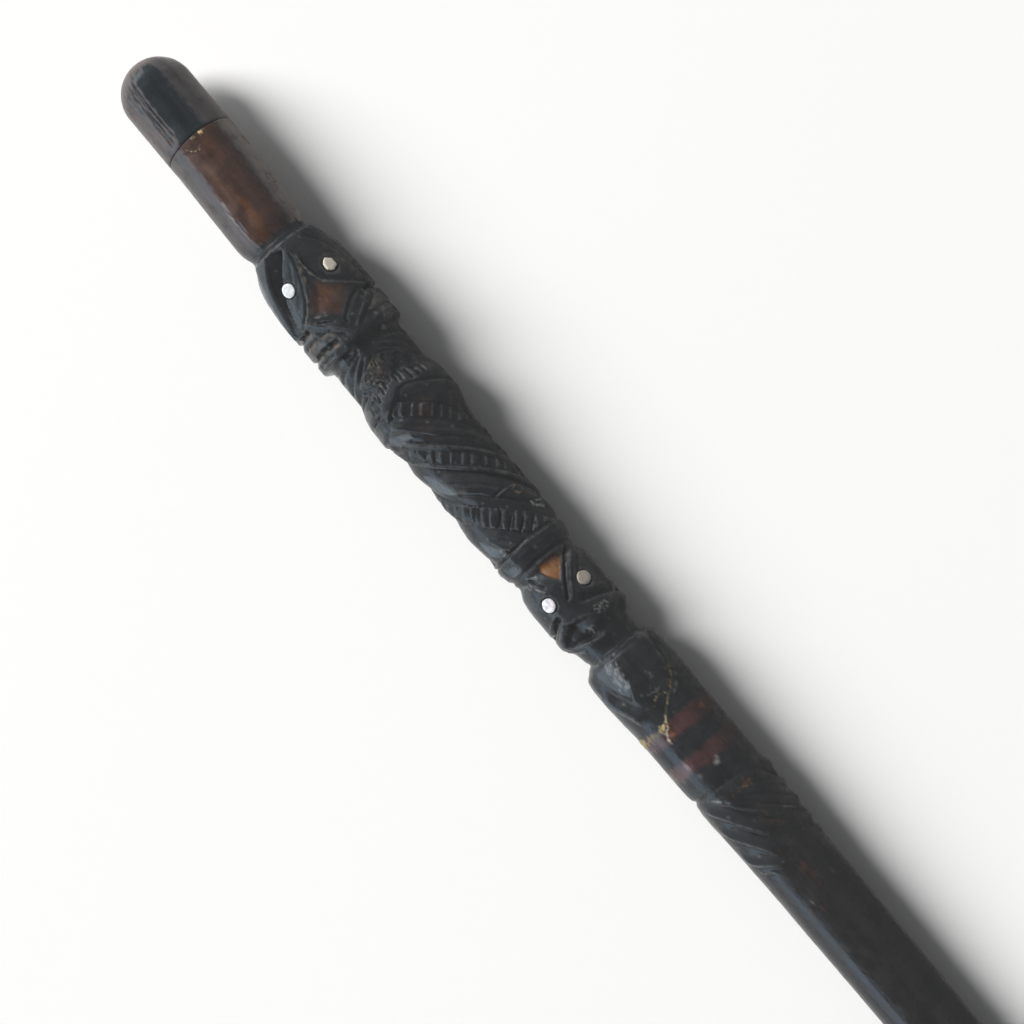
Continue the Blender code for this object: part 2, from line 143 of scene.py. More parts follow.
table_mesh = bpy.data.meshes.new("table_top")
table_shape = bmesh.new()
bmesh.ops.create_grid(table_shape, x_segments=2, y_segments=2, size=TABLE_SIZE / 2.0)
table_shape.to_mesh(table_mesh)
table_shape.free()
table_top = put_in_scene("table_top", table_mesh)
table_top.location.z = -TABLE_DROP
table_mesh.materials.append(new_finish("white_table", Base_Color=(0.93, 0.93, 0.93, 1.0), Roughness=0.9,
                                       Specular_IOR_Level=0.0)[0])
table_top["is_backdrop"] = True

# A dark sheet that only the polish sees: a painted dark reflection on the right side of the wood
dark_mesh = bpy.data.meshes.new("dark_side")
corners = [(-DARK_SHEET_HALF_LENGTH, DARK_SHEET_PLACE, 0.0), (DARK_SHEET_HALF_LENGTH, DARK_SHEET_PLACE, 0.0),
           (DARK_SHEET_HALF_LENGTH, DARK_SHEET_PLACE, DARK_SHEET_HEIGHT), (-DARK_SHEET_HALF_LENGTH, DARK_SHEET_PLACE, DARK_SHEET_HEIGHT)]
dark_mesh.from_pydata(corners, [], [(0, 1, 2, 3)])
dark_mesh.materials.append(new_finish("dark_reflection_sheet", Base_Color=(0.30, 0.30, 0.30, 1.0))[0])
dark_side = put_in_scene("dark_side", dark_mesh)
dark_side.visible_camera = False
dark_side.visible_diffuse = False
dark_side.visible_shadow = False
dark_side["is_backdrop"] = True
print("table:", TABLE_SIZE, "m wide; cloth height:", DARK_SHEET_HEIGHT, "m")

# %% [markdown]
# ## Light
# The shadow on the table tells where the light comes from: it falls to the right and towards the
# tip, it is dark and sharp beside the stick, and it fades out over the width of a hand. So there
# is one tall oval window beyond the handle on the left, with a weaker glow low down beside it. The
# window is made twice: one lamp lights the stick, and a weaker one is all that the polish mirrors,
# because one lamp can't do both as softly. A long pale wall on the left only shows in the polish:
# where the black carving leans to the left, it goes from black to slate blue. A little glare
# lifts the deepest blacks, as a real lens does.

# %% The lamps
ROOM_GLOW = 0.08
LENS_GLARE = 0.0195
# Bearing, climb, distance, width, height, power
TALL_WINDOW = (38.0, 37.0, 16.0, 7.4, 12.8, 4000.0)
LOW_GLOW = (13.0, 15.0, 16.0, 10.9, 5.6, 900.0)
PALE_WALL = (90.0, 13.0, 8.0, 12.0, 3.5, 470.0)
WINDOW_SHINE = 0.4
DAYLIGHT = (1.0, 0.995, 0.985)
WALL_BLUE = (0.70, 0.86, 1.0)

view = bpy.context.scene.view_settings
view.view_transform = "Standard"
view.use_curve_mapping = True
view.curve_mapping.black_level = (-LENS_GLARE, -LENS_GLARE, -LENS_GLARE)
view.curve_mapping.update()
room = bpy.data.worlds.new("dark_room")
room.use_nodes = True
room_light = room.node_tree.nodes["Background"]
room_light.inputs["Color"].default_value = (0.97, 0.985, 1.0, 1.0)
room_light.inputs["Strength"].default_value = ROOM_GLOW
bpy.context.scene.world = room


def add_lamp(name, shape, sizes, colour, share=1.0):
    """A soft lamp that faces the stick. Its bearing is in degrees from the handle end of the
    stick, round to the left; its climb is in degrees above the table."""
    bearing, climb, distance, width, height, power = sizes
    lamp_data = bpy.data.lights.new(name, "AREA")
    lamp_data.shape = shape
    lamp_data.size = width
    lamp_data.size_y = height
    lamp_data.energy = power * share
    lamp_data.color = colour
    lamp = put_in_scene(name, lamp_data)
    level = distance * math.cos(math.radians(climb))
    lamp.location = (-level * math.cos(math.radians(bearing)), -level * math.sin(math.radians(bearing)),
                     distance * math.sin(math.radians(climb)))
    lamp.rotation_euler = (-lamp.location).to_track_quat("-Z", "Y").to_euler()
    return lamp


add_lamp("tall_window", "ELLIPSE", TALL_WINDOW, DAYLIGHT).visible_glossy = False
add_lamp("window_shine", "ELLIPSE", TALL_WINDOW, DAYLIGHT, WINDOW_SHINE).visible_diffuse = False
add_lamp("low_glow", "RECTANGLE", LOW_GLOW, DAYLIGHT)
add_lamp("pale_wall", "RECTANGLE", PALE_WALL, WALL_BLUE).visible_diffuse = False

# %% [markdown]
# ## A skin of rings
# The carved stick is a round bar with a carved surface, so its skin can be a grid: rings along the
# length, and points round each ring. Every grid point only moves in or out. That is quicker than
# sculpting and cleaner than cutting with hundreds of boolean tools, and any carved line can still
# be read and changed. The rings are close together where the carving is fine, and the points of a
# ring are closer together on the carved face than underneath.

# %% Rings and points
SIDES = 160
CROWDING = 0.5
GLUED_JOINT = 43.3
TIP_CHAMFER = 1.2
LENGTH = DOME_START + (cad_high.x - cad_low.x) / MM

# From, to and spacing, in marks of the picture's scale
RING_SPACING = [(43.7, 51, 0.5), (51, 93, 2.1), (93, 131, 0.55), (131, 150, 0.5), (150, 176, 0.45),
                (176, 249, 0.5), (249, 305, 0.55), (305, 342, 0.6), (342, 365, 1.5), (365, 408, 0.65),
                (408, 430, 2.0), (430, 880, 32.0), (880, LENGTH - TIP_CHAMFER, 13.0)]

ring_places = [GLUED_JOINT]
for low, high, spacing in RING_SPACING:
    count = round((high - low) / spacing)
    ring_places += [low + (high - low) * number / count for number in range(count)]
ring_places += [LENGTH - TIP_CHAMFER, LENGTH]
ALONG = np.array(ring_places)[:, None]
share_round = (np.arange(SIDES) + 0.5) / SIDES - 0.5
full_turn = 2.0 * math.pi * share_round
TURN = np.degrees(full_turn - CROWDING * np.sin(full_turn))[None, :]
RINGS = len(ring_places)
print("rings:", RINGS, "triangles:", 2 * SIDES * (RINGS - 1) + 2 * (SIDES - 2))

# %% [markdown]
# ## Drawing on a round surface
# A carver marks the pattern on the round stick before cutting it. The same is done here. A place
# is a distance from the handle end in millimetres, and a turn in degrees from the upper face,
# positive to the right. The first thing a drawn line needs is how far each grid point lies from it,
# with a sign for the side, and how much of the line is passed there.

# %% Measure from a drawn line
MM_PER_DEGREE = 0.29
FAR_AWAY = 1000.0


def smooth(value):
    """Goes from 0 to 1 with a soft start and a soft end."""
    value = np.clip(value, 0.0, 1.0)
    return value * value * (3.0 - 2.0 * value)


def line_distance(along, turn, points):
    """Signed distance to a line in millimetres, and the share of the line that is passed there."""
    across = turn * MM_PER_DEGREE
    corners = [(mark, angle * MM_PER_DEGREE) for mark, angle in points]
    lengths = [math.hypot(x1 - x0, y1 - y0) for (x0, y0), (x1, y1) in zip(corners, corners[1:])]
    total, passed = sum(lengths), 0.0
    shape = np.broadcast(along, turn).shape
    nearest, place = np.full(shape, FAR_AWAY), np.zeros(shape)
    for (x0, y0), (x1, y1), length in zip(corners, corners[1:], lengths):
        run, rise = x1 - x0, y1 - y0
        share = np.clip(((along - x0) * run + (across - y0) * rise) / (length * length), 0.0, 1.0)
        off_along = along - x0 - share * run
        off_across = across - y0 - share * rise
        away = np.hypot(off_along, off_across)
        side = np.where(run * off_across < rise * off_along, -1.0, 1.0)
        closer = away < np.abs(nearest)
        nearest = np.where(closer, away * side, nearest)
        place = np.where(closer, (passed + share * length) / total, place)
        passed += length
    return nearest, place


def rings_near(points, reach):
    """The rings that a line can touch, so that a short line costs little time."""
    marks = [mark for mark, angle in points]
    first, last = np.searchsorted(ALONG[:, 0], [min(marks) - reach, max(marks) + reach])
    return slice(first, last)


print("one degree of turn is taken as", MM_PER_DEGREE, "mm")

# %% [markdown]
# ## Strokes
# A stroke is cut or raised most on its line, and fades out within one width on each side of it. A
# narrow side makes a steep bank there, as a knife does when one form has to look as if it lies
# over the next. Where two cuts cross, the deeper one counts, and where two raised lines cross, the
# higher one, so crossings stay as clean as carved ones. Broad forms are kept apart and added up.

# %% Cut or raise a stroke
EDGE_POWER = 1.05

cuts = np.zeros((RINGS, SIDES))
beads = np.zeros((RINGS, SIDES))
forms = np.zeros((RINGS, SIDES))


def nearness(away, below, above):
    """1 on a line, falling to 0 at its width below or above it."""
    near = np.clip(1.0 - np.abs(away) / np.where(away < 0.0, below, above), 0.0, 1.0)
    return near ** EDGE_POWER


def from_ends(place, taper):
    """0 at both ends of a line, rising to 1 within the taper, a share of its length."""
    return smooth(np.minimum(place, 1.0 - place) / taper)


def stroke(points, below, above, height, taper=0.12):
    """Cuts (height below 0) or raises a line; below and above are its widths to left and right."""
    rows = rings_near(points, max(below, above))
    away, place = line_distance(ALONG[rows], TURN, points)
    near = nearness(away, below, above)
    if taper:
        near = near * from_ends(place, taper)
    if height < 0.0:
        cuts[rows] = np.minimum(cuts[rows], height * near)
    else:
        beads[rows] = np.maximum(beads[rows], height * near)


def strokes(lines, taper=0.12):
    """Many strokes, each given as its two widths, its height and its line."""
    for below, above, height, line in lines:
        stroke(line, below, above, height, taper)


print("grid for cuts, raised lines and forms:", cuts.shape)

# %% [markdown]
# ## Rings and panels
# Two more ways of drawing are needed. Some lines run right round the stick, so they are given as
# stations of turn and distance, and the line leans between them. And some areas are sunk or painted
# as a whole: a panel is an outline that is closed, with a soft edge on its inside.

# %% Draw rings and panels
def border(turn, stations):
    """Where a line that runs right round the stick lies at a turn."""
    return np.interp(turn, [angle for angle, mark in stations], [mark for angle, mark in stations])


def round_stroke(stations, before, after, height, strength=1.0):
    """A stroke right round the stick, given as turn and distance stations."""
    lean = (border(TURN + 2.0, stations) - border(TURN - 2.0, stations)) / (4.0 * MM_PER_DEGREE)
    away = (ALONG - border(TURN, stations)) / np.sqrt(1.0 + lean * lean)
    near = nearness(away, before, after)
    if height < 0.0:
        np.minimum(cuts, height * near * strength, out=cuts)
    else:
        np.maximum(beads, height * near * strength, out=beads)


def inside_outline(points):
    """True at the grid points that an outline of marks and turns encloses."""
    inside = np.zeros((RINGS, SIDES), dtype=bool)
    for (x0, a0), (x1, a1) in zip(points, points[1:] + points[:1]):
        if a0 != a1:
            crosses = (a0 > TURN) != (a1 > TURN)
            inside ^= crosses & (ALONG < x0 + (x1 - x0) * (TURN - a0) / (a1 - a0))
    return inside


def panel(points, edge):
    """1 inside an outline, falling to 0 within one edge width inside it."""
    away, place = line_distance(ALONG, TURN, points + points[:1])
    return np.where(inside_outline(points), smooth(np.abs(away) / edge), 0.0)


print("ways to draw:", [way.__name__ for way in (stroke, round_stroke, panel)])

# %% [markdown]
# ## The plain outline
# Before any line is cut, the stick has an outline like a turned table leg: waist, head, shoulders,
# body, second head, neck, breast, bands and a long taper. It is a list of distances and radii,
# because a turner works from such a list too. A short moving average rounds its corners.

# %% Outline and middle line
OUTLINE = [
    (43, 15.4), (50, 15.4), (60, 15.3), (70, 15.1), (80, 14.8), (88, 14.5), (91, 13.9), (93.5, 12.9),
    (95.5, 12.9), (100, 15.3), (103, 16.9), (106, 17.9), (110, 18.8), (115, 19.3), (120, 19.5),
    (147, 19.5), (150, 16.7), (152, 16.2), (166, 16.1), (170.5, 17.9), (174, 18.7), (184, 18.9),
    (187.5, 17.6), (191, 16.6), (203, 16.5), (208, 16.2), (213, 16.3), (227, 16.5), (234, 16.6),
    (246, 16.3), (252, 16.0), (256, 15.1), (260.5, 13.4), (264.5, 15.6), (269, 16.2), (289, 16.3),
    (293.5, 13.2), (300, 11.8), (302.3, 13.6), (304.6, 16.4), (309, 17.1), (317, 17.2), (326, 16.8),
    (333, 16.3), (362, 16.2), (366.5, 15.7), (372, 16.4), (377, 16.3), (383, 15.9), (408, 15.2),
    (880, 10.9), (1000, 10.9)]
# The middle line bends a little to the side along the stick
SIDEWAYS = [(2.3, 1.7), (50.3, 1.7), (74.3, 0.7), (86.3, 0.1), (120.3, 0.0), (240.3, -0.9),
            (305.3, -1.0), (370.3, 0.0), (920.3, 0.2)]
ROUNDING = 0.8
HEAD_RADIUS = 19.5
TIP_RADIUS = 10.9
HEAD_REST = 123.0
FLAT_DEPTH = 0.5
REST_FALL = (HEAD_RADIUS - TIP_RADIUS) / (LENGTH - HEAD_REST)


def read_off(along, stations):
    """The value between the stations of a list."""
    return np.interp(along, [mark for mark, value in stations], [value for mark, value in stations])


def outline_radius(along):
    """The rounded outline: the mean of five readings close together."""
    steps = np.linspace(-ROUNDING, ROUNDING, 5)
    return sum(read_off(along + step, OUTLINE) for step in steps) / len(steps)


def axis_height(along):
    """The middle line sinks towards the thin end, because the stick rests on its head and its tip."""
    return HEAD_RADIUS - FLAT_DEPTH - REST_FALL * (along - HEAD_REST)


def on_surface(along, turn, radius):
    """World places at a distance from the handle end, a turn and a radius in millimetres."""
    angle = np.radians(turn)
    x = from_end(along) + 0.0 * angle
    y = (read_off(along, SIDEWAYS) + radius * np.sin(angle)) * MM
    z = (axis_height(along) + radius * np.cos(angle)) * MM
    return np.stack(np.broadcast_arrays(x, y, z), axis=-1)


print("widest radius:", HEAD_RADIUS, "mm")
print("middle line sinks", round(REST_FALL * (LENGTH - HEAD_REST), 1), "mm")

# %% [markdown]
# ## The upper head
# The crown rises from the waist in a short steep front. Two long leaf-shaped lobes meet at the brow
# and hold the shell eyes. Beside the left leaf lies a dark recess: the wood falls away steeply and
# then climbs slowly to the edge of the cheek. On the right the cheek has only a low edge. Between
# the lobes a lozenge of bare brown wood is sunk, with a small lip below it. Sculpting with a brush
# would give such forms too, but a drawn line stays crisp and can be moved by changing a number.

# %% Carve the upper head
FACE_MIDDLE = 4.0
LEAF_EDGE = [(100.5, -2), (103.5, -8), (108, -21), (113, -32), (118, -42), (124, -50), (129, -56), (132, -62)]
CHEEK_EDGE = [(99, -27), (102, -31), (107, -41), (113, -52), (119, -60), (125, -68), (130, -77)]
BROW_LEFT = [(105, 6), (109, 4.5), (112, 2), (117, -4), (120, -9.5), (124, -17), (127, -26), (129, -35),
             (131, -50)]
BROW_RIGHT = [(105, 7), (112, 5.5), (117, 7), (121, 10.5), (123.5, 18), (127, 33), (129.5, 45), (131.5, 62)]
LIP = [(130, -25), (132, -15), (133.5, -6)]
LOZENGE = [(119.5, 2), (123.5, 15), (129, 34), (133, 22), (137.5, 3), (134, -9), (129.5, -22), (124, -11)]
HEAD_END = [(-180, 131.3), (-88, 131.0), (-62, 131.0), (-40, 131.8), (48, 131.8), (62, 131.5), (90, 131.3),
            (180, 131.3)]
# Width to the left, width to the right, height and line
HEAD_LINES = [
    (6.2, 0.6, -3.6, LEAF_EDGE),
    (1.0, 0.5, -0.9, [(103, 3), (108, 1), (113, -4), (118, -10.5), (121, -15.5), (124, -21), (127, -30),
                      (129, -40), (131, -56)]),
    (0.6, 1.3, -0.6, [(108, 8), (113, 8.5), (117.5, 11), (121, 17), (124, 28), (127, 40), (129, 51),
                      (131, 64)])]
CHEEK_LINES = [
    (5.0, 0.4, 0.9, [(98, -26), (102, -31), (107, -41), (112, -50)]),
    (1.4, 4.0, -0.9, [(101, 28), (105, 43), (111, 55), (118, 62), (125, 66), (131, 72)])]
LEAF_GRAIN = [
    [(106, -2), (111, -10), (116, -20), (120, -29)],
    [(110, -2), (114, -9), (119, -19), (123.5, -31), (127, -43)],
    [(112, -20), (117, -31), (122, -40), (127, -48)],
    [(117, -12), (121, -20), (125, -31), (128, -42)]]
CROWN_RISE, LOZENGE_DEPTH = 2.0, 0.6

crown = smooth((ALONG - 96.0) / 3.2) * np.clip((113.0 - ALONG) / 14.0, 0.0, 1.0) ** 1.3
forms += CROWN_RISE * crown * smooth((76.0 - np.abs(TURN - FACE_MIDDLE)) / 22.0)
forms -= LOZENGE_DEPTH * panel(LOZENGE, 2.4)
strokes(HEAD_LINES, taper=0.06)
strokes(CHEEK_LINES, taper=0.1)
stroke(CHEEK_EDGE, 8.5, 0.5, 0.9, taper=0.05)
stroke(BROW_LEFT, 0.5, 0.5, 0.3)
stroke(BROW_RIGHT, 0.5, 0.6, 0.3)
for line in LEAF_GRAIN:
    stroke(line, 0.9, 0.5, -0.36, taper=0.3)
stroke(LIP, 0.4, 0.4, 0.3, taper=0.2)
stroke([(132.3, -26), (134.5, -16), (137.0, -5)], 0.7, 0.7, -0.8, taper=0.2)
# The step that closes the head is deepest at the sides, where the lobes end in corners
side_strength = smooth((np.abs(TURN - FACE_MIDDLE) - 38.0) / 16.0)
round_stroke(HEAD_END, 0.5, 3.2, -2.4, side_strength)
print("deepest cut on the head:", round(float(cuts[:200].min()), 2), "mm")

# %% [markdown]
# ## Knot, shoulders and wrap
# Below the lozenge four raised arms cross in a knot. The upper two close the head, and the lower
# two lead into ribs that sweep round the body like a wrapped cloth. Between the arms the shoulders
# bulge in rolls, like fingers laid on the stick. The rolls and folds of the right half repeat the
# left ones more weakly, so those lines are drawn once and mirrored.

# %% Carve the shoulders and the wrap
KNOT = (145.3, 4)
ARM_UPPER_LEFT = [(131, -35), (133.5, -26), (136, -18), (140, -7), (143, -0.5), KNOT]
ARM_UPPER_RIGHT = [(132.5, 62), (134.5, 50), (136, 42), (139, 28), (142, 14), (144, 7), KNOT]
# Width to the left, width to the right, height and line
ARM_LINES = [
    (0.7, 1.4, -0.9, [(130.5, 44), (132, 32), (134, 20), (138, 5), (141.5, 2)]),
    (1.3, 0.6, -0.8, [(134.8, -35), (138, -21), (141.5, -10), (144, -3)]),
    (0.6, 1.3, -0.8, [(134.8, 60), (138, 44), (141, 29), (144, 14)]),
    (0.8, 1.4, -0.8, [(154.2, 20), (157.4, 34), (161.6, 58)]),
    (0.6, 0.6, 0.5, [(149.0, 36), (149.6, 42), (149.8, 47)])]
ROLLS_AND_FOLDS = [
    (0.8, 1.6, -0.9, [(138.6, -13), (137.2, -28), (136.2, -48), (135.6, -72)]),
    (0.8, 2.6, -1.9, [(143.0, -12), (142.0, -28), (141.2, -50), (140.6, -85), (140.5, -120)]),
    (0.8, 1.6, -0.9, [(146.6, -14), (145.8, -30), (145.0, -50), (144.6, -72)]),
    (0.8, 2.2, -2.0, [(149.2, -12), (148.4, -30), (147.8, -55), (147.6, -90), (147.6, -120)]),
    (1.8, 0.5, -1.1, [(150.2, -6), (151.4, -18), (152.4, -36), (153.6, -58), (155.5, -80)]),
    (2.4, 0.5, -1.2, [(151.6, -8), (153.4, -20), (156.0, -38), (159.2, -58), (161.5, -80)]),
    (2.2, 0.5, -1.2, [(154.0, -8), (157.4, -22), (160.6, -40), (163.8, -58), (166, -78)])]
WRAP_RIBS = [
    (0.45, 0.45, 0.25, [(148.8, -33), (149.6, -44), (150.9, -60)]),
    (0.45, 0.45, 0.25, [(152.2, -36), (154.0, -48), (156.4, -62)]),
    (0.45, 0.45, 0.3, [(154.0, -5), (157.3, -22), (159.4, -35), (162.6, -53)])]
RIGHT_SHARE = 0.35


def mirrored(points):
    """The same line on the other side of the middle of the carved face."""
    return [(mark, 2.0 * FACE_MIDDLE - angle) for mark, angle in points]


stroke(ARM_UPPER_LEFT, 1.2, 1.2, 0.5, taper=0.05)
stroke(ARM_UPPER_RIGHT, 1.3, 0.9, 0.5, taper=0.05)
strokes(ARM_LINES + ROLLS_AND_FOLDS + WRAP_RIBS)
strokes([(above, below, height * RIGHT_SHARE, mirrored(line))
         for below, above, height, line in ROLLS_AND_FOLDS + WRAP_RIBS])
knot_distance = np.hypot(ALONG - KNOT[0], (TURN - KNOT[1]) * MM_PER_DEGREE)
forms += 0.3 * smooth(1.0 - knot_distance / 3.0)

# The valley between the lower arms, on both sides of the knot
beside_knot = smooth((np.abs(TURN - FACE_MIDDLE) - 6.0) / 14.0)
forms -= 0.8 * smooth(1.0 - np.abs(ALONG - 149.5) / 4.0) * beside_knot
print("rolls and folds on each side:", len(ROLLS_AND_FOLDS))

# %% [markdown]
# ## The feathered point
# Two rows of short cuts stand in nested arrowheads behind the wrap. The upper row is a hatch of
# small ticks, and the lower row is raised bars along the stick. The ticks are many and each is
# small, so a rule places them: steps of the golden ratio spread them evenly without a pattern. The
# bars are few and show singly, so they are listed. On the left lie two plain petals.

# %% Carve the feathered point
TICKS = 44
# Shares of a full round that never fall into step with each other; the first is the golden ratio
GOLDEN, SECOND_STEP, THIRD_STEP = 0.618034, 0.754878, 0.371
# Where each raised bar starts, its turn, and its length
BARS = [(166.0, 8.0, 4.0), (165.2, 15.0, 5.8), (167.0, 26.0, 6.0), (168.0, 36.0, 5.4), (168.6, 46.0, 4.6),
        (165.8, -9.5, 4.0), (166.2, -16.0, 4.8), (167.6, -26.0, 5.0), (168.2, -31.5, 4.0),
        (168.4, -37.0, 4.4), (169.6, -46.0, 4.6)]
# The right edge of the point, as distance and turn from the middle
POINT_EDGE = [(155.4, 0), (157.6, 20), (161.0, 42), (165.5, 66)]
PETAL_TOPS = [[(168.4, -40), (170.5, -37), (174.6, -36)], [(176.8, -40), (179.5, -42), (183.0, -46)]]
PETAL_SIDES = [[(166.0, -44), (166.8, -58), (167.8, -82)], [(175.2, -38), (175.9, -56), (176.4, -86)]]


def spread(number, step, start=0.0):
    """The place, from 0 to 1, of one of many things that are spread evenly without a pattern."""
    return (number * step + start) % 1.0


for side in (-1.0, 1.0):
    for number in range(TICKS):
        off_middle = 46.0 * spread(number, GOLDEN, 0.1) ** 0.8
        mark = 156.2 + 9.5 * spread(number, SECOND_STEP) + 0.09 * off_middle
        turn = FACE_MIDDLE + side * (1.5 + off_middle)
        length = 2.4 + 1.6 * spread(number, THIRD_STEP)
        depth = -0.8 if side < 0.0 or off_middle < 20.0 else -0.5
        stroke([(mark, turn), (mark + length, turn + side * 2.4)], 0.75, 0.32, depth, taper=0.25)
    stroke([(mark, FACE_MIDDLE + side * angle) for mark, angle in POINT_EDGE], 0.6, 0.6, -0.5)
for mark, turn, length in BARS:
    bar = [(mark, turn - 0.8), (mark + length * 0.5, turn + 0.6), (mark + length, turn)]
    stroke(bar, 0.4, 0.4, 0.2, taper=0.2)
    stroke([(place, angle - 2.4) for place, angle in bar], 1.0, 0.32, -1.0, taper=0.2)
# The top of each petal is a long slope down to its edge, and its side is a plain groove
strokes([(3.6, 0.5, -1.1, line) for line in PETAL_TOPS], taper=0.2)
strokes([(0.8, 0.8, -1.0, line) for line in PETAL_SIDES])
print("ticks on each side:", TICKS, "raised bars:", len(BARS))

# %% [markdown]
# ## The twist
# Ropes climb round the body at one steady lead, so a point belongs to a rope by its distance along
# the stick less its turn times the lead. Folding that number over one full lead makes the pattern
# meet itself at the back. There are broad flat ropes, thin ones between them, and three ropes that
# are crossed by a row of scoops. Bending straight bars round the stick would leave seams, while
# this way the ropes and the body stay one skin.

# %% Where each point lies on the ropes
DEGREES_PER_MM = 4.0
LEAD = 360.0 / DEGREES_PER_MM
FIRST_EDGE = 179.0
TWIST_END = 248.2
TWIST_START = [(-180, 186), (-110, 185.8), (-88, 185.2), (-62, 183.4), (-40, 180.2), (-20, 176.4),
               (0, 172.4), (10, 172.4), (25, 174.4), (55, 178), (90, 181), (130, 184), (180, 186)]

rope_place = ALONG - TURN / DEGREES_PER_MM
rope_place = FIRST_EDGE + np.mod(rope_place - FIRST_EDGE, LEAD)
in_twist = smooth((ALONG - border(TURN, TWIST_START)) / 1.2) * smooth((TWIST_END - ALONG) / 1.2)
lean = DEGREES_PER_MM * MM_PER_DEGREE
along_rope = (ALONG + lean * TURN * MM_PER_DEGREE) / math.sqrt(1.0 + lean * lean)
print("lead of the twist:", LEAD, "mm")

# %% [markdown]
# Each rope has a rounded section, from its crest down to both edges. Scoops cross the notched
# ropes and leave a thin crest between each two. They stop at the back, where nobody looked.

# %% Carve the ropes
# Where each rope starts and ends, how deep its edges lie, how proud it is, and the step of its scoops
ROPES = [(179.0, 186.3, 0.9, 0.0, 3.8), (186.3, 199.8, 1.3, 0.0, 0.0), (199.8, 203.2, 0.8, 0.1, 0.0),
         (203.2, 210.4, 0.9, 0.0, 4.6), (210.4, 213.4, 0.8, 0.1, 0.0), (213.4, 231.8, 1.6, 0.1, 0.0),
         (231.8, 242.8, 0.9, 0.0, 4.4), (242.8, 269.0, 1.7, 0.1, 0.0)]
BROAD = 8.0
BROAD_CREST, CREST = 0.44, 0.5
BROAD_ROUND, THIN_ROUND, NOTCHED_ROUND = 1.35, 2.0, 3.5
SCOOP_DEPTH = 0.95
SCOOP_RISE, SCOOP_FALL = 0.72, 0.28

stagger = 0.12 * np.sin(along_rope * 0.9) + 0.09 * np.sin(along_rope * 1.7)
on_front = smooth((120.0 - np.abs(TURN)) / 20.0)
for low_edge, high_edge, cut, proud, scoop_step in ROPES:
    share = (rope_place - low_edge) / (high_edge - low_edge)
    on_rope = (share >= 0.0) & (share < 1.0)
    wide = high_edge - low_edge > BROAD and not scoop_step
    crest = BROAD_CREST if wide else CREST
    roundness = BROAD_ROUND if wide else (NOTCHED_ROUND if scoop_step else THIN_ROUND)
    from_crest = np.where(share < crest, (crest - share) / crest, (share - crest) / (1.0 - crest))
    height = proud - (cut + proud) * np.clip(from_crest, 0.0, 1.0) ** roundness
    if scoop_step:
        passed = np.mod(along_rope / scoop_step + stagger, 1.0)
        scoop = np.minimum(passed / SCOOP_RISE, (1.0 - passed) / SCOOP_FALL)
        scoop = np.clip(scoop, 0.0, 1.0) ** 0.8
        height -= SCOOP_DEPTH * scoop * smooth((1.0 - from_crest) / 0.3) * on_front
    forms += np.where(on_rope, height, 0.0) * in_twist
print("ropes:", len(ROPES))

# %% [markdown]
# Long shallow grooves part each broad rope into flat strands. Hands have since rubbed flats on the
# left side, right through the cuts: seen along the stick, a flat is a straight line in place of an
# arc, and everything carved there before is blended into it.

# %% Part the strands and rub the flats
# Where each groove lies on the ropes, and its depth
STRAND_LINES = [(190.6, -0.35), (195.4, -0.5), (220.4, -0.4), (226.2, -0.6), (248.6, -0.4), (253.6, -0.5)]
RUBBED_FLATS = [
    [(202.6, -64), (204.6, -52), (208.5, -42), (213, -35), (217.4, -30), (217.8, -34), (215, -48),
     (212.4, -64)],
    [(235.8, -60), (239, -48), (243, -36), (247.2, -31), (247.8, -34), (246.2, -50), (244, -62)],
    [(183, -62), (184, -42), (186.8, -28), (190, -28), (189.2, -42), (188.4, -62)],
    [(250.8, -60), (250.8, -37), (252.6, -33), (255.8, -34), (256.2, -58)]]
FLAT_PLACE, FLAT_REACH = -41.0, 20.0


def flat_fall(middle, half):
    """How far a flat lies below the round outline; its middle and half width are in degrees."""
    half = math.radians(half)
    from_middle = np.clip(np.radians(TURN - middle), -half, half)
    return outline_radius(ALONG) * (1.0 - math.cos(half) / np.cos(from_middle))


strand_wander = 0.5 * np.sin(along_rope * 0.21) + 0.25 * np.sin(along_rope * 0.6)
for place, depth in STRAND_LINES:
    near = np.clip(1.0 - np.abs(rope_place - place - strand_wander) / 1.1, 0.0, 1.0)
    cuts[:] = np.minimum(cuts, depth * near * in_twist * smooth((TURN + 42.0) / 16.0))
rubbed = -flat_fall(FLAT_PLACE, FLAT_REACH) - 0.1
for outline in RUBBED_FLATS:
    worn = panel(outline, 0.7)
    forms[:] = forms * (1.0 - worn) + rubbed * worn
    cuts[:] = cuts * (1.0 - worn)
    beads[:] = beads * (1.0 - worn)
round_stroke(TWIST_START, 1.0, 1.3, -0.9)
stroke([(176.2, -26), (177.5, -31), (179.3, -37)], 0.5, 0.5, 0.35)
print("strand lines:", len(STRAND_LINES), "rubbed flats:", len(RUBBED_FLATS))

# %% [markdown]
# ## Where the twist ends
# On the right, near the end of the twist, one rope is stopped by a cross edge with a small loop and
# a worn oval knob beside it. Then two plain collars close the body above the second head. The
# collars run right round, so they are round strokes, and the rest are short ones.

# %% Carve the end of the twist
COLLAR_GROOVE = [(-180, 248.6), (-60, 248.8), (-35, 248.2), (0, 247.8), (60, 248.2), (180, 248.6)]
COLLAR_EDGE = [(-180, 251.8), (0, 251.6), (40, 252.2), (180, 251.8)]
HEAD_GROOVE = [(-180, 256.8), (-80, 257.0), (-35, 257.4), (0, 256.6), (40, 256.8), (90, 257.0), (180, 256.8)]
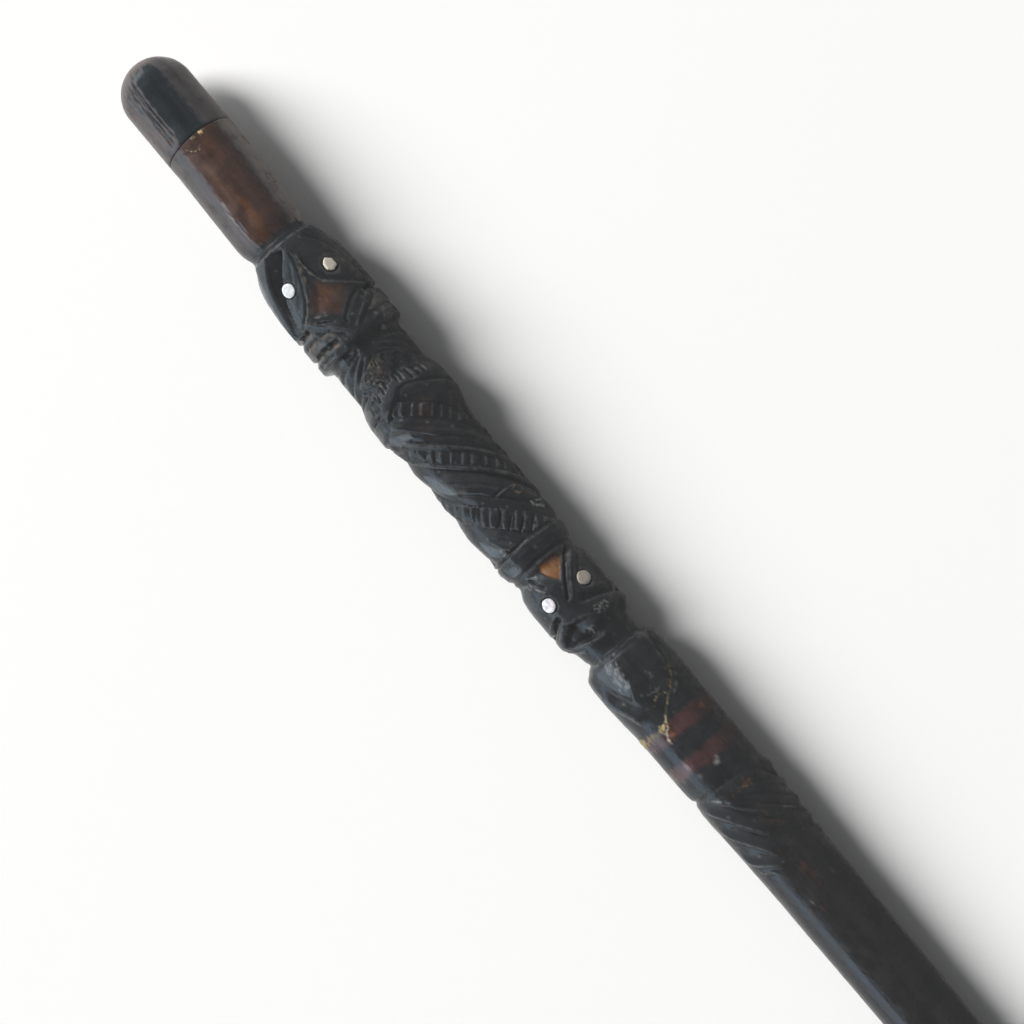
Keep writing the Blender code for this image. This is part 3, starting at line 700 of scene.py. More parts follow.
# Width to the left, width to the right, height and line
END_LINES = [
    (0.55, 0.55, 0.6, [(229.2, 4), (228.5, 16), (228.3, 30), (229.0, 42), (230.8, 50), (232.6, 44),
                       (232.0, 37)]),
    (0.6, 0.8, -0.7, [(227.8, 4), (227.2, 18), (227.4, 32)]),
    (1.2, 1.2, 0.9, [(238.6, 44), (239.6, 54), (240.8, 62), (241.6, 68)])]
FINE_LINES = [[(231.5, 6), (234.5, 1), (236.5, -6), (238.2, -17)], [(240.6, 27), (242.6, 17), (245.4, 3)],
              [(243.0, 37), (245.0, 28), (247.6, 18)], [(237.6, 12), (239.6, 3), (241.6, -6)]]

strokes(END_LINES)
for line in FINE_LINES:
    stroke(line, 0.5, 0.5, 0.3)
    stroke([(mark, turn - 2.6) for mark, turn in line], 0.8, 0.3, -0.7)
round_stroke(COLLAR_GROOVE, 1.0, 1.2, -1.0)
round_stroke(COLLAR_EDGE, 0.6, 0.6, 0.25)
round_stroke(HEAD_GROOVE, 1.5, 1.2, -0.9)
print("fine lines beside the loop:", len(FINE_LINES))

# %% [markdown]
# ## The lower head
# The second head is smaller and plainer. A triangle of bare orange wood is its brow. A crisp ridge
# parts it from the right lobe, and two curved ridges with a hollow between them close it on the
# left. Below the eyes come deep side cuts and raised rolls, like lips and a chin.

# %% Carve the lower head
BROW_TRIANGLE = [(258.2, -10), (260.6, -17.5), (265, -8), (269.2, 2.5), (265.2, 15), (260.8, 35), (258.4, 24)]
RIGHT_RIDGE = [(261, 58), (262.8, 43), (265.6, 29), (270, 16), (275, 4.5), (278, -6)]
LEFT_RIDGES = [
    (0.8, 0.6, 0.6, [(259.4, -42), (260.6, -31), (262.3, -20)]),
    (0.8, 0.6, 0.6, [(260.8, -62), (262.4, -46), (265.2, -34), (268.8, -23.5)])]
CHIN_RIDGES = [
    (0.6, 0.6, 0.5, [(277.6, -33), (278.6, -46), (281.0, -66)]),
    (0.8, 0.8, 0.8, [(281.6, -30), (283.8, -46), (287.2, -65)]),
    (0.8, 0.8, 0.6, [(296.0, -42), (294.6, -54), (292.6, -68), (290.9, -84)])]
LOWER_CUTS = [
    (0.6, 1.4, -0.6, [(263.4, 60), (266, 45), (269.4, 32), (273.5, 20)]),
    (0.9, 0.8, -1.2, [(260.6, -42), (262.2, -33), (264.6, -26), (267.4, -19)]),
    (1.3, 1.6, -2.2, [(278.8, -30), (279.8, -42), (281.4, -56), (283.2, -72), (284, -100)]),
    (1.8, 3.0, -2.0, [(278.0, 1), (279.4, 16), (280.6, 32), (282.4, 52), (284, 72), (285, 100)])]
SCUFFS = [(285.0, 9), (285.8, 14), (285.2, 19), (286.0, 24), (285.4, 30), (284.8, 36), (284.9, 42),
          (286.6, 20), (286.8, 28), (289.4, -16), (290.4, -12), (291.8, -13), (291.6, -7), (292.8, -9),
          (290.6, -17)]

forms -= 0.7 * panel(BROW_TRIANGLE, 0.8)
stroke(RIGHT_RIDGE, 0.9, 1.0, 0.5, taper=0.08)
stroke([(259.4, 54), (261.6, 38), (264.6, 24), (269, 10), (273.6, 0), (277, -9)], 1.2, 0.5, -1.4, taper=0.08)
strokes(LEFT_RIDGES + CHIN_RIDGES + LOWER_CUTS)
for mark, turn in SCUFFS:
    stroke([(mark, turn), (mark + 1.0, turn + 2.0)], 0.7, 0.3, -0.5, taper=0.0)
print("ridges:", 1 + len(LEFT_RIDGES) + len(CHIN_RIDGES))

# %% [markdown]
# Under the chin a hollow with three sides is scooped out on the left. It gets deeper towards the
# middle, so its floor faces away from the window and stays dark. A softer hollow is on the right.

# %% Scoop out the hollows under the chin
HOLLOW = [(283.0, -27), (284.9, -46), (287.8, -63), (290.0, -70), (292.0, -60), (293.0, -45), (294.0, -30),
          (295, 0), (294, 24), (288, 24), (284.5, 0)]

hollow_depth = 2.4 * np.clip((TURN + 69.0) / 20.0, 0.0, 1.0) + 1.2 * np.clip((TURN + 49.0) / 21.0, 0.0, 1.0)
forms -= panel(HOLLOW, 2.2) * hollow_depth * (1.0 - smooth((TURN + 28.0) / 50.0))
forms -= 1.3 * smooth(1.0 - np.abs(ALONG - 290.5) / 4.2) * smooth(1.0 - np.abs(TURN - 50.0) / 24.0)
print("deepest form so far:", round(float(forms.min()), 2), "mm")

# %% [markdown]
# ## The breast and the break
# The breast is one round boss with a flange on both sides. Long wear has rubbed a flat on its upper
# left, and below that flat the flange stands up in a long ridge that climbs slowly and drops
# steeply. The stick once broke just below and was glued: a jagged seam with pale glue crosses the
# upper face, and yellow filler was pressed into the left side.

# %% Carve the breast and the seam
BREAST_STEP = [(-180, 301.2), (-88, 300.8), (-40, 301.0), (0, 301.6), (40, 301.4), (180, 301.2)]
WORN_FLAT = [(302.6, -13), (309, -13), (316, -15), (322, -28), (316, -42), (309, -54), (302.6, -56)]
BREAST_FLAT_PLACE, BREAST_FLAT_REACH = -37.0, 22.0
FLANGE_RIDGE = [(311, -70), (316, -62.5), (321, -55), (326, -45), (329.5, -41), (332, -41)]
SEAM = [(317, 44), (319.5, 42), (321.5, 37), (323.4, 34), (325.2, 25), (327, 20), (327.6, 14), (329.4, 8),
        (330.6, 2), (333, -7), (334.4, -10), (336, -14), (338, -20), (340, -25), (341.5, -27)]
SEAM_BRANCH = [(327.4, 15), (325.6, 10), (325.2, 4), (326.2, -4), (327.6, -9)]
# Width to the left, width to the right, height and line
BREAST_LINES = [
    (0.7, 1.4, 0.25, [(302.6, 60), (304.5, 50), (308, 44.5), (313, 42.5), (319, 42.5)]),
    (1.0, 1.4, -0.6, [(304, 66), (307, 55), (311, 49), (317, 46)]),
    (0.8, 1.2, 0.25, [(307.5, 74), (309.5, 62), (312.5, 53), (318, 48), (323, 43)]),
    (0.5, 0.5, -0.4, SEAM_BRANCH)]

round_stroke(BREAST_STEP, 2.2, 0.5, -0.8)
forms -= flat_fall(BREAST_FLAT_PLACE, BREAST_FLAT_REACH) * panel(WORN_FLAT, 0.9)
stroke([(303, -62), (307, -57), (312, -51), (317, -44), (320, -38), (323, -30), (326, -21)], 3.6, 2.4, -1.3,
       taper=0.4)
stroke(FLANGE_RIDGE, 1.8, 5.0, 1.3, taper=0.2)
stroke(SEAM, 0.6, 0.6, -0.6, taper=0.04)
strokes(BREAST_LINES)
print("seam runs from", SEAM[0][0], "to", SEAM[-1][0], "mm")

# %% [markdown]
# ## Leaf carving
# Below the bands, long leaves fold over each other and run out into the plain shaft. Each leaf is
# a raised edge that climbs slowly from behind and drops steeply in front, so its edge catches the
# light. Thin cuts fan out on the right, and they get longer towards the tip.

# %% Carve the leaves
BAND_END = [(-180, 366.8), (-88, 366.6), (-10, 366.4), (20, 367.4), (40, 369.6), (56, 373.5), (72, 378),
            (95, 380), (140, 372), (180, 366.8)]
# Width to the left, width to the right, height and line
LEAF_CUTS = [
    (1.0, 0.5, -0.7, [(367.8, -42), (369.8, -31), (372.4, -22), (376.5, -12), (381, 2)]),
    (0.8, 1.1, -0.45, [(370, -2), (372.2, 14), (374.4, 30), (378, 58), (380, 80)]),
    (0.8, 1.0, -0.45, [(375, 2), (378.5, 22), (382, 40), (386, 60), (391, 84)]),
    (0.8, 1.1, -0.5, [(380, 8), (384, 26), (388, 44), (394, 66), (398, 88)]),
    (0.8, 1.0, -0.35, [(386, 2), (390, 20), (395, 40), (400, 62)]),
    (0.7, 0.9, -0.3, [(374, -18), (379, -4), (384, 12), (389, 26)])]
LEAF_EDGES = [
    (0.8, 2.6, 0.7, [(367.0, -56), (368.6, -44), (370.6, -33), (373.4, -22), (377.4, -12), (383, 2),
                     (388, 14)]),
    (1.3, 5.0, 1.3, [(369.6, -68), (372.6, -55), (375.2, -46), (378.6, -36), (382.4, -28), (387, -16),
                     (392, -3), (397, 10)]),
    (1.4, 5.4, 1.4, [(379.4, -73), (382.4, -62), (385.8, -50), (388.8, -41), (392.4, -31), (397, -20),
                     (403, -6)]),
    (1.3, 4.6, 1.1, [(393.4, -76), (395.6, -66), (398.8, -51), (401.4, -35), (403.4, -24), (406, -14)]),
    (0.8, 2.0, 0.6, [(400.8, -64), (402.4, -53), (404.0, -41), (405.6, -28)])]
LEAF_RIDGES = [
    (0.45, 0.45, 0.3, [(368.8, -40), (370.6, -30), (374.4, -17)]),
    (0.6, 0.6, 0.1, [(371.6, -60), (375.6, -46.5), (379.0, -36.5)]),
    (0.6, 0.6, 0.1, [(382.6, -63), (386.2, -51), (389.2, -42), (391.6, -34)]),
    (0.6, 0.6, 0.4, [(387.6, 36), (389, 44), (390.4, 54), (392.4, 60)]),
    (0.6, 0.6, 0.1, [(395.8, -67), (399.2, -52), (401.4, -38)]),
    (0.5, 0.5, 0.3, [(402.8, -56), (404.0, -44), (405.2, -32)])]
# Low swellings along the right outline: distance, turn and height
SWELLINGS = [(372.5, 84, 0.9), (381, 80, 0.8), (389, 83, 0.9), (397, 80, 0.7), (404, 82, 0.6)]

round_stroke(BAND_END, 1.4, 1.2, -1.0, 0.4 + 0.6 * side_strength)
strokes(LEAF_CUTS + LEAF_RIDGES)
strokes(LEAF_EDGES, taper=0.3)
for mark, turn, height in SWELLINGS:
    forms += height * smooth(1.0 - np.hypot((ALONG - mark) / 3.6, (TURN - turn) / 26.0))
print("leaf edges:", len(LEAF_EDGES), "leaf cuts:", len(LEAF_CUTS))

# %% [markdown]
# ## Round the back
# The underside was never in view. The carver's lines are carried round it more plainly: the
# shoulder and wrap grooves close into rings, and the twist simply goes on. This keeps the silhouette
# lobed from every side.

# %% Close the lines at the back
BACK_RINGS = [(140.5, -1.3), (147.5, -1.3), (155.0, -0.8), (160.0, -0.8), (168.0, -0.8), (285.0, -1.0)]
# A groove on each side of the back of the head: distance, and its turn as a share of 150 degrees
BACK_GROOVE = [(100, 0.88), (112, 0.8), (124, 0.72), (131, 0.68)]

at_the_back = smooth((np.abs(TURN) - 105.0) / 20.0)
for mark, depth in BACK_RINGS:
    round_stroke([(-180, mark), (180, mark)], 1.6, 1.6, depth, at_the_back)
for turn in (-150.0, 150.0):
    stroke([(mark, turn * share) for mark, share in BACK_GROOVE], 1.6, 1.6, -0.9)
print("rings closed at the back:", len(BACK_RINGS))

# %% [markdown]
# ## Hand work and wear
# A knife never leaves a perfect surface. Low, slow waves in the radius make long reflections
# wander, and finer dents come on top. They are read from smooth noise at the place of each point,
# so they are the same on every run.

# %% Add the unevenness of hand work
SLOW_WAVE, FINE_WAVE = 0.16, 0.05


def noise_over(along, turn, bar_radius, scales, seed):
    """Smooth noise over a round bar; the scales are waves per millimetre along and round it."""
    along_scale, round_scale = scales
    size, angle = bar_radius * round_scale, np.radians(turn)
    places = np.broadcast_arrays(along * along_scale + seed, size * np.sin(angle), size * np.cos(angle))
    values = [noise.noise(Vector(place)) for place in np.stack(places, axis=-1).reshape(-1, 3).tolist()]
    return np.array(values).reshape(places[0].shape)


def noise_field(along_scale, round_scale, seed):
    """Smooth noise over the carved stick."""
    return noise_over(ALONG, TURN, HEAD_RADIUS, (along_scale, round_scale), seed)


slow = noise_field(0.06, 0.09, 3.1)
middling = noise_field(0.25, 0.25, 17.7)
fine = noise_field(0.9, 0.9, 41.3)
uneven = SLOW_WAVE * slow + FINE_WAVE * (middling + 0.6 * fine)
print("unevenness in mm:", round(float(uneven.min()), 2), "to", round(float(uneven.max()), 2))

# %% [markdown]
# ## Seats for the shell eyes
# Each eye is a thin disc of shell in a shallow round pit. Its place and size are read from the
# measured model, so the pit and the disc always fit. A boolean cut would leave long thin triangles,
# so the points of the grid are lowered to the floor of the pit instead.

# %% Cut the seats
DEEPEST_CUT = 3.8
SHELL_THICKNESS = 1.5
SEAT_GAP = 0.3
# Distance, turn, length and width
EYES = {
    "eye_shell_upper_head_left": (115.5, -27, 5.9, 5.7),
    "eye_shell_upper_head_right": (117.5, 32, 6.4, 5.6),
    "eye_shell_lower_head_left": (273.0, -33, 5.9, 6.0),
    "eye_shell_lower_head_right": (273.2, 32, 5.9, 6.0)}

radius = outline_radius(ALONG) + forms + np.maximum(cuts, -DEEPEST_CUT) + beads + uneven
eye_frames = {}
for name, (mark, turn, length, width) in EYES.items():
    low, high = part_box(name)
    middle = (low + high) / 2.0
    lean = math.radians(turn)
    outward = Vector((0.0, math.sin(lean), math.cos(lean)))
    sideward = Vector((0.0, math.cos(lean), -math.sin(lean)))
    eye_frames[name] = (middle, outward, sideward, length, width)
    axis = Vector((middle.x, read_off(mark, SIDEWAYS) * MM, axis_height(mark) * MM))
    floor = (middle - axis).dot(outward) / MM - SHELL_THICKNESS / 2.0 - SEAT_GAP
    off_along = ALONG - DOME_START - (middle.x - cad_low.x) / MM
    off_round = np.radians(TURN - turn) * (floor + 1.0)
    reach = np.hypot(off_along / (length / 2.0 + SEAT_GAP), off_round / (width / 2.0 + SEAT_GAP))
    inside = smooth((1.06 - reach) / 0.12)
    floor_here = floor / np.cos(np.clip(np.radians(TURN - turn), -0.6, 0.6))
    radius = radius * (1.0 - inside) + floor_here * inside
print("seats cut:", len(EYES))

# %% [markdown]
# ## Where the paint has gone
# Wear shows first where hands and the table touch: on ridges. A point stands proud if it is
# further out than the average of its neighbours, and sits in a groove if it is further in. That
# difference, taken over a few rings, is the recipe for worn edges with painted highlights, and for
# painted shade in the grooves.

# %% Measure ridges and grooves
NEIGHBOURS = 3


def average_over(field, steps):
    """Moving average over neighbouring rings and points, wrapped round the stick."""
    total = np.zeros_like(field)
    for shift in range(-steps, steps + 1):
        total += np.roll(field, shift, axis=1)
    total /= 2 * steps + 1
    padded = np.pad(total, ((steps, steps), (0, 0)), mode="edge")
    return sum(padded[shift:shift + len(field)] for shift in range(2 * steps + 1)) / (2 * steps + 1)


relief = radius - outline_radius(ALONG) * np.ones((1, SIDES))
proud = relief - average_over(relief, NEIGHBOURS)
ridge = smooth((proud - 0.08) / 0.3)
groove = smooth((-proud - 0.05) / 0.35)
print("ridge share:", round(float(ridge.mean()), 3), "groove share:", round(float(groove.mean()), 3))

# %% [markdown]
# ## Colour on the points
# The black paint is worn through to brown wood in a few places, two bands are painted dull red, and
# a triangle is bare orange wood. An image wrapped round the stick would do, but it has a seam and
# a fixed sharpness. So the colours are stored on the points of the skin instead. Each is an area
# with a soft, ragged edge, laid over what is there already, as a painter would work.

# %% Ways to lay a colour
BLACK = (0.0112, 0.0128, 0.0145)
RAGGEDNESS = 0.35

ragged = noise_field(0.55, 0.55, 71.9)
tone = np.zeros((RINGS, SIDES, 3)) + np.array(BLACK)


def lay_over(tones, colour, amount):
    """Lays a colour over stored tones, by an amount from 0 to 1 at each point."""
    amount = np.clip(amount, 0.0, 1.0)[..., None]
    tones[:] = tones * (1.0 - amount) + np.array(colour) * amount


def lay(colour, amount):
    """Lays a colour over the whole skin of the stick."""
    lay_over(tone, colour, amount)


def patch(mark, turn, half_length, half_width, softness=0.5, raggedness=RAGGEDNESS):
    """An oval area with a ragged edge; its half width is in degrees."""
    reach = np.hypot((ALONG - mark) / half_length, (TURN - turn) / half_width)
    return smooth((1.0 + raggedness * ragged * 2.0 - reach) / softness)


def lay_patches(patches, where=1.0):
    """Lays a list of colours, each with the amounts and sizes of its ovals."""
    for colour, *ovals in patches:
        lay(colour, sum(amount * patch(*oval) for amount, *oval in ovals) * where)


def band(low, high, softness):
    """A stretch of the stick, with ragged ends."""
    wander = ALONG + 1.2 * ragged
    return smooth((wander - low) / softness) * smooth((high - wander) / softness)


print("black laid on", tone.shape[0] * tone.shape[1], "points")

# %% [markdown]
# ## The grip
# A hand has worn the paint off the grip. Its top is polished brown, with an orange glow near the
# head, its sides are silver grey and paler to the right, and along the left edge of the brown layer
# a thin bright line is painted as its highlight. The layer is thick enough to stand a little proud.

# %% Colour the grip
SHAFT_BROWN = (0.0135, 0.0125, 0.0130)
GRIP_GREY = (0.056, 0.049, 0.048)
GRIP_PALE = (0.26, 0.22, 0.20)
GRIP_BROWN = (0.048, 0.024, 0.017)
GRIP_ORANGE = (0.095, 0.038, 0.014)
GRIP_EDGE_HIGHLIGHT = (0.20, 0.175, 0.16)
LAYER_THICKNESS = 0.22
GRIP_START, GRIP_END = 40.0, 93.8

lay(SHAFT_BROWN, smooth((ALONG - 340.0) / 80.0) * 0.8)
grip_part = band(GRIP_START, GRIP_END, 1.0)
grip_middle = smooth((TURN + 31.0 + 7.0 * ragged) / 2.5) * smooth((46.0 - TURN + 9.0 * ragged) / 12.0)
lay(GRIP_GREY, grip_part)
lay(GRIP_PALE, grip_part * smooth((TURN - 32.0) / 28.0) * 0.9)
lay(GRIP_BROWN, grip_part * grip_middle)
lay_patches([(GRIP_ORANGE, (0.8, 81, -2, 13, 11, 1.0, 0.15), (0.6, 91.5, -12, 4, 12, 0.9, 0.2)),
             (GRIP_ORANGE, (0.4, 50, 16, 10, 18, 1.0, 0.1), (0.3, 64, -14, 16, 8, 1.0, 0.1))])
# Painted highlight: a thin bright line along the left edge of the brown layer
grip_edge_highlight = smooth(1.0 - np.abs(TURN + 32.0 + 7.0 * ragged) / 2.6) * smooth((ALONG - 62.0) / 10.0)
lay(GRIP_EDGE_HIGHLIGHT, 0.65 * grip_edge_highlight * grip_part * smooth((fine + 0.2) / 0.3))
radius = radius + LAYER_THICKNESS * grip_part * grip_middle
print("bare share of the grip:", round(float(grip_middle[ALONG[:, 0] < GRIP_END].mean()), 2))

# %% [markdown]
# ## The upper half of the carving
# The left leaf and cheek are painted slate blue, as the sheen of the pale wall on them, and the recess
# between them is painted nearly black as shade. The lozenge is bare wood with an orange heart. Dust
# lies on the rolls. The right side is painted paler all along, and two pale patches there stand for
# dust on the shoulder and for the reflection of the table on the cheek. A few spots of red and brown
# wood show through on the twist.

# %% Colour the upper head, the shoulders and the twist
LEAF_SHEEN_BLUE = (0.026, 0.034, 0.040)
RECESS_SHADE_BLACK = (0.0075, 0.0085, 0.010)
CHEEK_SHEEN_BLUE = (0.034, 0.042, 0.050)
LOZENGE_BROWN = (0.056, 0.029, 0.021)
LOZENGE_ORANGE = (0.105, 0.045, 0.020)
DUSTY_BROWN = (0.052, 0.040, 0.031)
ROLL_DUST = (0.080, 0.066, 0.053)
PALE_DUST_AND_REFLECTION = (0.130, 0.120, 0.106)
RIGHT_SIDE_PALE = (0.080, 0.076, 0.070)
ROLL_ORANGE = (0.12, 0.055, 0.040)
POINT_OLIVE = (0.075, 0.058, 0.032)
ROPE_RED = (0.055, 0.030, 0.024)
ROPE_BROWN = (0.085, 0.050, 0.032)
LEAF_AREA = [(101, 4), (112, 1), (120, -10), (127, -28), (131, -50), (124, -47), (118, -39), (113, -29),
             (108, -18), (103, -6)]
LOZENGE_MIDDLE, LOZENGE_HALF_LENGTH, LOZENGE_HALF_WIDTH = 127.8, 9.8, 35.0

# Painted sheen: the left leaf is laid slate blue, as the pale wall mirrored in it
lay(LEAF_SHEEN_BLUE, 0.8 * panel(LEAF_AREA, 0.8))
# Painted shade: the recess between the leaf and the cheek is laid nearly black
lay(RECESS_SHADE_BLACK, 0.9 * panel(LEAF_EDGE + CHEEK_EDGE[::-1], 0.8))
# Painted sheen: the cheek below the recess is laid slate blue, as the pale wall mirrored in it
lay(CHEEK_SHEEN_BLUE, 0.85 * panel(CHEEK_EDGE + [(131, -95), (99, -95)], 0.5))
from_middle = np.abs(ALONG - LOZENGE_MIDDLE) / LOZENGE_HALF_LENGTH
from_middle = from_middle + np.abs(TURN - FACE_MIDDLE) / LOZENGE_HALF_WIDTH + 0.12 * ragged
lay(LOZENGE_BROWN, 0.95 * smooth((1.0 - from_middle) / 0.5))
lay_patches([(LOZENGE_ORANGE, (0.6, 125.5, 4, 3.4, 9, 0.9)),
             (DUSTY_BROWN, (0.7, 117, 42, 8, 20, 0.9, 0.5), (0.5, 142.5, -22, 4.5, 14, 0.8)),
             (ROLL_DUST, (0.65, 140, -50, 9, 26, 0.9, 0.5)),
             # Pale patches on the right: dust on the shoulder, and a painted reflection of the table on the
             # cheek
             (PALE_DUST_AND_REFLECTION, (0.75, 141, 58, 9, 24, 0.9, 0.6), (0.42, 119, 66, 14, 17, 0.9, 0.7))])
right_side = smooth((TURN - 30.0) / 40.0) * smooth((112.0 - TURN) / 12.0)
# The whole right side of the carving is painted paler, patchy along its length
lay(RIGHT_SIDE_PALE, 0.7 * right_side * band(100, 416, 8.0) * (0.55 + 1.1 * middling))
lay_patches([(ROLL_ORANGE, (0.6, 144.6, -26, 1.5, 6, 0.7)),
             (POINT_OLIVE, (0.5, 158.6, -3, 3.0, 16, 0.9, 0.4)),
             (DUSTY_BROWN, (0.5, 163.0, -14, 5.0, 26, 0.9, 0.6)),
             (ROPE_RED, (0.6, 184, 10, 5, 16, 0.8, 0.5), (0.3, 191, -8, 6, 14, 0.9)),
             (ROPE_BROWN, (0.35, 219, -24, 2.6, 7, 0.8))])
print("points of bare wood in the lozenge:", int((from_middle < 1.0).sum()))

# %% [markdown]
# ## Worn and lit lines
# Where a raised line has lost its paint, it shows as a broken grey or brown line; most of these
# lines are also painted highlights along their ridges. The lines that were carved above are used
# again, so the wear and the highlights stay on the ridges if they are moved.

# %% Draw the worn and lit lines
BROKEN_LINE_HALF_WIDTH = 0.42
EDGE_GREY = (0.105, 0.105, 0.098)
EDGE_BROWN = (0.095, 0.070, 0.050)
BAR_GREY = (0.085, 0.082, 0.076)


def draw_broken_line(line, colour, half_width=BROKEN_LINE_HALF_WIDTH):
    """Draws a line with broken edges in a colour; it serves for worn paint and for painted highlights."""
    rows = rings_near(line, 1.0)
    away, place = line_distance(ALONG[rows], TURN, line)
    edge = smooth((half_width + 0.7 * ragged[rows] - np.abs(away)) / 0.35)
    lay_over(tone[rows], colour, 0.85 * from_ends(place, 0.1) * edge)


def lines_of(table):
    """The lines of a table of strokes."""
    return [line for below, above, height, line in table]


# Most of these are painted highlights on the ridges, laid where the paint is also worn
WEAR_AND_HIGHLIGHT_LINES = [
    (EDGE_GREY, [BROW_RIGHT]),
    (EDGE_BROWN, [BROW_LEFT]),
    (EDGE_GREY, [LIP]),
    ((0.06, 0.06, 0.058), [ARM_UPPER_RIGHT[2:6]]),
    ((0.24, 0.20, 0.14), [[(350.4, 4), (350.9, 11), (350.7, 17)]]),
    ((0.055, 0.055, 0.053), [RIGHT_RIDGE]),
    (EDGE_GREY, lines_of(CHIN_RIDGES[:2])),
    (EDGE_BROWN, lines_of(CHIN_RIDGES[2:])),
    (EDGE_GREY, lines_of(LEFT_RIDGES)),
    ((0.21, 0.21, 0.21), [[(261.6, -43), (264.6, -34), (268.6, -24)]]),
    ((0.20, 0.20, 0.20), [[(282.4, -36), (284.6, -48), (286.8, -60)]]),
    ((0.15, 0.145, 0.13), [[(278.0, -38), (279.2, -50), (280.8, -63)]]),
    ((0.14, 0.14, 0.14), [[(295.4, -48), (293.8, -60), (292.4, -70)]]),
    ((0.085, 0.088, 0.088), lines_of(WRAP_RIBS)),
    ((0.12, 0.12, 0.118), lines_of(LEAF_RIDGES)),
    ((0.18, 0.18, 0.18), [FLANGE_RIDGE]),
    ((0.12, 0.125, 0.125), [[(322.6, 44), (326.2, 35), (329.0, 21)]]),
    ((0.10, 0.105, 0.105), [[(323.2, 40), (327.0, 30)]])]

for colour, lines in WEAR_AND_HIGHLIGHT_LINES:
    for line in lines:
        draw_broken_line(line, colour)
# Painted highlights along the raised bars
for mark, turn, length in BARS:
    draw_broken_line([(mark, turn - 0.8), (mark + length, turn)], BAR_GREY, 0.16)
print("worn lines:", sum(len(lines) for colour, lines in WEAR_AND_HIGHLIGHT_LINES) + len(BARS))

# %% [markdown]
# ## Triangle, bands and rubbed flats
# The triangle on the lower brow is bare orange wood. The two bands are dull red, and where they curve
# away to the left they are painted mauve, as the sheen of the pale wall on the red. Rust-brown specks
# lie among the leaves. The rubbed flats and the lobe of the lower left cheek are painted slate blue,
# as the same sheen on them, and the flats are also greyer from wear. Fine scratches break up the
# palest spots.

# %% Colour the lower half
TRIANGLE_ORANGE = (0.130, 0.056, 0.018)
BAND_RED = (0.048, 0.020, 0.019)
BAND_SHEEN_MAUVE = (0.085, 0.060, 0.066)
BAND_ORANGE = (0.17, 0.065, 0.022)
LEAF_ORANGE = (0.085, 0.038, 0.018)
RUST = (0.060, 0.026, 0.012)
FLAT_SHEEN_BLUE = (0.040, 0.046, 0.053)
LOBE_SHEEN_BLUE = (0.038, 0.043, 0.050)
RUBBED_SHEEN_BLUE = (0.070, 0.080, 0.090)
FIRST_BAND, SECOND_BAND = (334.8, 342.6), (350.4, 357.4)

lay_patches([(DUSTY_BROWN, (0.4, 274, 34, 6, 16, 0.9, 0.5))])
lay(TRIANGLE_ORANGE, smooth(panel(BROW_TRIANGLE, 1.1)))
lay(BAND_RED, 0.92 * band(*FIRST_BAND, 0.9) * smooth((75.0 - np.abs(TURN - 5.0)) / 12.0 + 0.5))
lay(BAND_RED, 0.85 * band(*SECOND_BAND, 0.9))
both_bands = band(335, 342.6, 1.5) + band(*SECOND_BAND, 1.5)
# Painted sheen: where the bands curve away to the left they are laid mauve, as the pale wall on the red
lay(BAND_SHEEN_MAUVE, 0.5 * both_bands * smooth((-24.0 - TURN) / 14.0))
lay_patches([(BAND_RED, (0.7, 362, 62, 1.9, 20, 0.5)),
             (BAND_ORANGE, (0.9, 339, 43, 1.6, 7, 0.7), (0.7, 340, -17, 1.8, 6, 0.8)),
             (LEAF_ORANGE, (0.7, 372, 20, 1.4, 18, 0.7, 0.6), (0.5, 381, -26, 2.4, 8, 0.8))])
rusty = smooth((ragged - 0.22) / 0.3) * smooth((middling + 0.1) / 0.3)
lay(RUST, 0.5 * rusty * band(366, 430, 3.0))
# Painted sheen: the rubbed flat of the breast is laid a paler slate blue
lay(FLAT_SHEEN_BLUE, 0.7 * panel(WORN_FLAT, 0.9))
# Painted sheen: the lobe of the lower left cheek is laid slate blue
lay_patches([(LOBE_SHEEN_BLUE, (0.8, 268, -57, 7.0, 14, 0.7, 0.2))])
# Painted sheen: the rubbed flats of the twist are laid a paler slate blue; they are also greyer from wear
for outline in RUBBED_FLATS:
    lay(RUBBED_SHEEN_BLUE, 0.9 * panel(outline, 0.4))
print("red bands from", FIRST_BAND[0], "and from", SECOND_BAND[0], "mm")

# %% [markdown]
# Scuffs are short scratches side by side. Where many lie together, a stretched noise stands for
# them. On the flat of the breast each one shows, so those are drawn one by one, again spread by
# the golden ratio, and kept only inside a leaning strip.

# %% Scuffs and scratches
SCRATCH_GREY = (0.14, 0.14, 0.138)
SCRATCH_TRIES = 90
FOURTH_STEP, FIFTH_STEP = 0.414214, 0.732051
# The strip across the flat: a mark and a turn on its middle line, its lean, and half its width
STRIP_MARK, STRIP_TURN, STRIP_LEAN, STRIP_HALF_WIDTH = 309.0, -21.0, -0.5, 10.0

scratched = smooth((noise_field(1.1, 0.7, 5.1) + 0.12) / 0.2)
